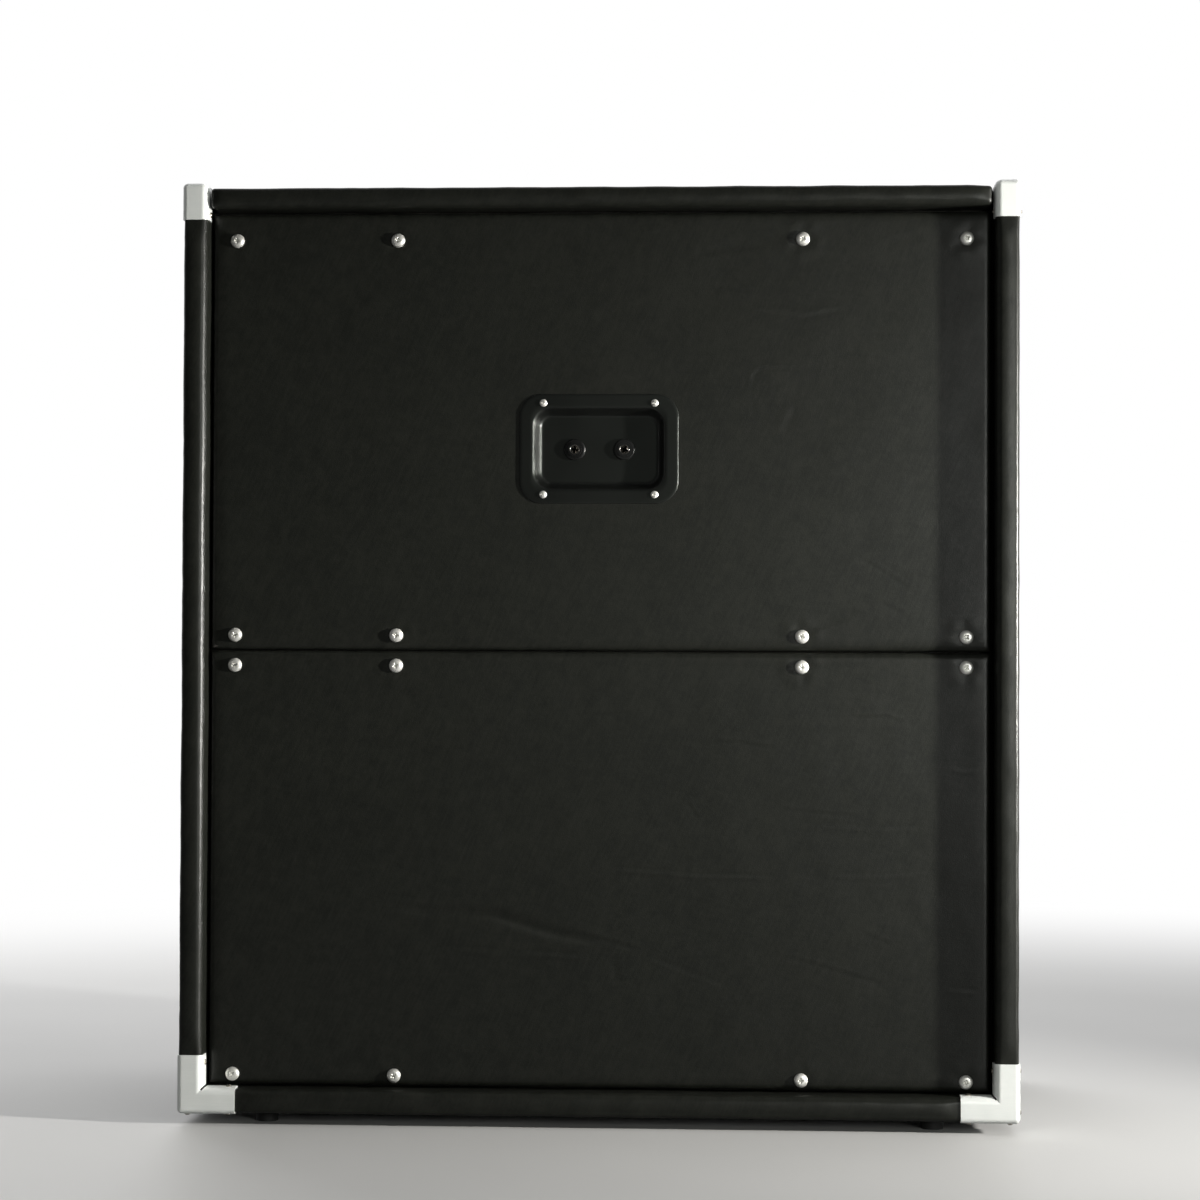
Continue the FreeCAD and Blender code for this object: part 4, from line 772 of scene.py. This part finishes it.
def dish_loop(half, radius, cuts=14):
    """A rectangle with round corners as a loop of points, the same number of them whatever its size."""
    arc = np.linspace(0, math.pi / 2, cuts)
    pieces = []
    for turn, sign in enumerate([(1, 1), (-1, 1), (-1, -1), (1, -1)]):
        angle = arc + turn * math.pi / 2
        pieces.append(np.array(sign) * (half - radius) + radius * np.stack([np.cos(angle), np.sin(angle)], -1))
    share = np.linspace(0, 1, cuts + 1)[1:-1, None]
    sides = [pieces[k][-1] * (1 - share) + pieces[(k + 1) % 4][0] * share for k in range(4)]
    return np.concatenate([part for pair in zip(pieces, sides) for part in pair])


JACKS = solid_middles("jack_sleeves", 2)
JACK_BORE = 5 * MM


def pressed_dish():
    """The jack dish as a pressed sheet. From the flange to the floor loops change evenly with s while the depth goes
    as 3 s^2 - 2 s^3, so that both folds are round; the flange's edge is rounded by a quarter turn."""
    low, high = span("jack_dish")
    middle = (low + high)[[0, 2]] / 2
    rim = (high - low)[[0, 2]] / 2
    mouth, foot = rim - np.array([11.3, 11.1]) * MM, rim - np.array([18.4, 18.9]) * MM
    rim_round, mouth_round, foot_round, fold, sheet = 19.5 * MM, 16 * MM, 9 * MM, 0.8 * MM, 1.2 * MM
    deep = high[1] - low[1] - sheet
    turn = np.linspace(0, math.pi / 2, 5)
    loops = [(dish_loop(rim, rim_round), sheet)]
    edge = list(zip(fold * (1 - np.cos(turn)), fold * (1 - np.sin(turn))))
    flange = [(cut * MM, 0.0) for cut in (3, 6, 9)]
    loops += [(dish_loop(rim - cut, rim_round - cut), depth) for cut, depth in edge + flange]
    outer, inner = dish_loop(mouth, mouth_round), dish_loop(foot, foot_round)
    loops += [(outer * (1 - s) + inner * s, deep * (3 * s ** 2 - 2 * s ** 3)) for s in np.linspace(0, 1, 17)]
    loops += [(inner * t, deep) for t in np.linspace(1, 0.04, 27)[1:]]
    count = len(outer)
    points = np.concatenate([
        np.stack([middle[0] + loop[:, 0], np.full(count, low[1] + depth), middle[1] + loop[:, 1]], -1)
        for loop, depth in loops
    ])
    quads = np.vstack([grid_quads(len(loops), count, closed=True), (len(loops) - 1) * count + end_cap(count)])
    places = points[quads][..., [0, 2]]
    for spot in JACKS:
        bore = (np.linalg.norm(places - spot, axis=-1) < JACK_BORE).any(1)
        quads, places = quads[~bore], places[~bore]
    add_piece("pressed_dish", points, quads, "dish_paint", "jack_dish")


pressed_dish()


def jack_mouths():
    """The sprung sleeves in the jacks' mouths, turned round Y: a rolled lip, then the bore, then fingers whose
    radius goes in and out with the cosine of four times the angle."""
    low, high = span("jack_sleeves")
    depth = high[1] - low[1]
    # Depth below the mouth, radius and height of the lobes of each ring, in millimetres.
    y = low[1] + np.array([0.05, -0.12, -0.16, -0.1, 0.3, 1.2, 2.0, 2.5, 2.9, depth / MM]) * MM
    radius = np.array([4.1, 4.05, 3.9, 3.6, 3.35, 3.3, 3.2, 2.4, 2.0, 2.0])
    lobes = np.array([0.1, 0.15, 0.15, 0.1, 0.0, 0.0, 0.0, 0.6, 0.7, 0.7])
    angle = np.linspace(0, 2 * math.pi, 48, endpoint=False)
    points, quads = [], []
    for number, (cx, cz) in enumerate(JACKS):
        r = (radius[:, None] + lobes[:, None] * np.cos(4 * angle + 0.7 + number)) * MM
        ring = np.stack([cx + r * np.cos(angle), np.repeat(y[:, None], len(angle), 1), cz + r * np.sin(angle)], -1)
        quads.append(grid_quads(len(y), len(angle), closed=True) + number * r.size)
        points.append(ring.reshape(-1, 3))
    add_piece("jack_mouths", np.vstack(points), np.vstack(quads), "contact_metal", "jack_sleeves")


jack_mouths()


def grille_cloth():
    """The cloth drawn over the grille's frame, a little slack between the bars."""
    low, high = span("grille_cloth")
    bar, slack_depth, unevenness = 17 * MM, 0.8 * MM, 0.05 * MM

    def relief(x, z):
        across = np.abs(np.abs(x) - (high[0] + bar) / 2) / ((high[0] - bar) / 2)
        up = np.abs(z - (low[2] + high[2]) / 2) / ((high[2] - low[2]) / 2)
        slack = (1 - smooth(across, 0.35, 0.95)) * (1 - smooth(up, 0.5, 0.97))
        return unevenness * waves(x, z, 90, 0.2) - slack_depth * slack

    points, quads = tray(low, high, 1, edge=2 * MM, step=4 * MM, relief=relief)
    cloth = add_piece("grille_fabric", points, quads, "grille_cloth", "grille_cloth")


grille_cloth()


# Stage, light and camera


def floor():
    """A pale floor. The camera sees it fade to white far from the object, and so does gloss behind the object;
    for all other light it is darker."""
    size = 9.0
    pale, paler, dull = (0.60, 0.598, 0.595, 1), (0.66, 0.657, 0.653, 1), (0.22, 0.22, 0.22, 1)
    fade_start, fade_end = 0.95, 2.3
    mesh = bpy.data.meshes.new("floor")
    mesh.from_pydata([(-size, -size, 0), (size, -size, 0), (size, size, 0), (-size, size, 0)], [], [(0, 1, 2, 3)])
    made = bpy.data.objects.new("floor", mesh)
    bpy.context.scene.collection.objects.link(made)
    look = bpy.data.materials.new("floor")
    look.use_nodes = True
    tree = look.node_tree
    shader = tree.nodes["Principled BSDF"]
    place = tree.nodes.new("ShaderNodeTexCoord").outputs["Object"]
    colour = mix_colour(tree, noise(tree, place, 3.0), pale, paler)
    seen = tree.nodes.new("ShaderNodeLightPath")
    shown = mix_colour(tree, seen.outputs["Is Camera Ray"], dull, colour)
    tree.links.new(shown, shader.inputs["Base Color"])
    shader.inputs["Roughness"].default_value = 0.5
    shader.inputs["Specular IOR Level"].default_value = 0.15
    far = node(tree, "ShaderNodeVectorMath", {0: place}, operation="LENGTH").outputs["Value"]
    white = node(tree, "ShaderNodeEmission", {"Color": (1, 1, 1, 1), "Strength": 1.0})
    behind = ramp(tree, node(tree, "ShaderNodeSeparateXYZ", {0: place}).outputs[1], 0.3, 1.5)
    mirrored = math_node(tree, "MULTIPLY", seen.outputs["Is Glossy Ray"], behind)
    eye = math_node(tree, "MAXIMUM", seen.outputs["Is Camera Ray"], mirrored)
    share = math_node(tree, "MULTIPLY", ramp(tree, far, fade_start, fade_end), eye)
    blend = node(tree, "ShaderNodeMixShader", {0: share, 1: shader.outputs[0], 2: white.outputs[0]})
    tree.links.new(blend.outputs[0], tree.nodes["Material Output"].inputs["Surface"])
    mesh.materials.append(look)


def world():
    """White for the camera; as light, a dim room that is brighter behind the object."""
    dim, bright = 0.025, 0.4
    made = bpy.data.worlds.new("studio")
    bpy.context.scene.world = made
    made.use_nodes = True
    tree = made.node_tree
    way = node(tree, "ShaderNodeSeparateXYZ", {0: tree.nodes.new("ShaderNodeTexCoord").outputs["Generated"]})
    behind = ramp(tree, way.outputs[1], -0.9, 0.6, dim, bright)
    light = node(tree, "ShaderNodeBackground", {"Color": (1, 1, 0.99, 1), "Strength": behind})
    white = node(tree, "ShaderNodeBackground", {"Color": (1, 1, 1, 1), "Strength": 1.0})
    seen = tree.nodes.new("ShaderNodeLightPath")
    mirrored = math_node(tree, "MULTIPLY", seen.outputs["Is Glossy Ray"], ramp(tree, way.outputs[1], -0.1, 0.5))
    eye = math_node(tree, "MAXIMUM", seen.outputs["Is Camera Ray"], seen.outputs["Is Transmission Ray"])
    eye = math_node(tree, "MAXIMUM", eye, mirrored)
    blend = node(tree, "ShaderNodeMixShader", {0: eye, 1: light.outputs[0], 2: white.outputs[0]})
    tree.links.new(blend.outputs[0], tree.nodes["World Output"].inputs["Surface"])


def area_light(name, place, target, size, watts, colour=(1, 1, 1), spread=180, mirrored=True):
    """A soft rectangular lamp aimed at a point, its light kept within an angle; gloss shows it if mirrored."""
    lamp = bpy.data.lights.new(name, "AREA")
    lamp.shape = "RECTANGLE"
    lamp.size, lamp.size_y = size
    lamp.energy = watts
    lamp.color = colour
    lamp.spread = math.radians(spread)
    made = bpy.data.objects.new(name, lamp)
    made.location = place
    made.rotation_mode = "QUATERNION"
    made.rotation_quaternion = (Vector(target) - Vector(place)).to_track_quat("-Z", "Y")
    made.visible_camera = False
    made.visible_glossy = mirrored
    bpy.context.scene.collection.objects.link(made)


def camera():
    """The photograph's view, fitted to the screws, corners and dish measured in it."""
    place, yaw, pitch, tilt = (0.1405, -2.68, 0.3974), 0.0552, 0.0209, 0.0040
    sensor, focal_pixels, photo_pixels = 36.0, 2944.6, 1200
    flat_front = Vector((-math.sin(yaw), math.cos(yaw), 0))
    flat_right = Vector((math.cos(yaw), math.sin(yaw), 0))
    upright = Vector((0, 0, 1))
    front = flat_front * math.cos(pitch) + upright * math.sin(pitch)
    up = upright * math.cos(pitch) - flat_front * math.sin(pitch)
    right = flat_right * math.cos(tilt) + up * math.sin(tilt)
    up = up * math.cos(tilt) - flat_right * math.sin(tilt)
    lens = bpy.data.cameras.new("camera")
    lens.sensor_width = sensor
    lens.lens = sensor * focal_pixels / photo_pixels
    lens.clip_end = 50
    made = bpy.data.objects.new("camera", lens)
    turn = Matrix((right, up, -front)).transposed()
    made.matrix_world = Matrix.Translation(place) @ turn.to_4x4()
    bpy.context.scene.collection.objects.link(made)
    bpy.context.scene.camera = made


floor()
world()
area_light("sheen", (1.15, -2.5, 0.6), (0.1, -0.16, 0.5), (0.7, 0.5), 17, (0.98, 1.0, 0.94))
area_light("grazing", (1.71, -0.675, 0.5), (0.1, -0.16, 0.45), (0.07, 0.09), 10, (1.0, 0.98, 0.93), 60)
area_light("top", (0.2, 0.5, 2.6), (0.0, 0.0, 0.6), (2.2, 2.2), 18, mirrored=False)
area_light("front_fill", (-1.2, 2.6, 1.4), (0.0, 0.1, 0.4), (1.8, 1.8), 50, mirrored=False)
camera()
bpy.context.scene.view_settings.view_transform = "Standard"
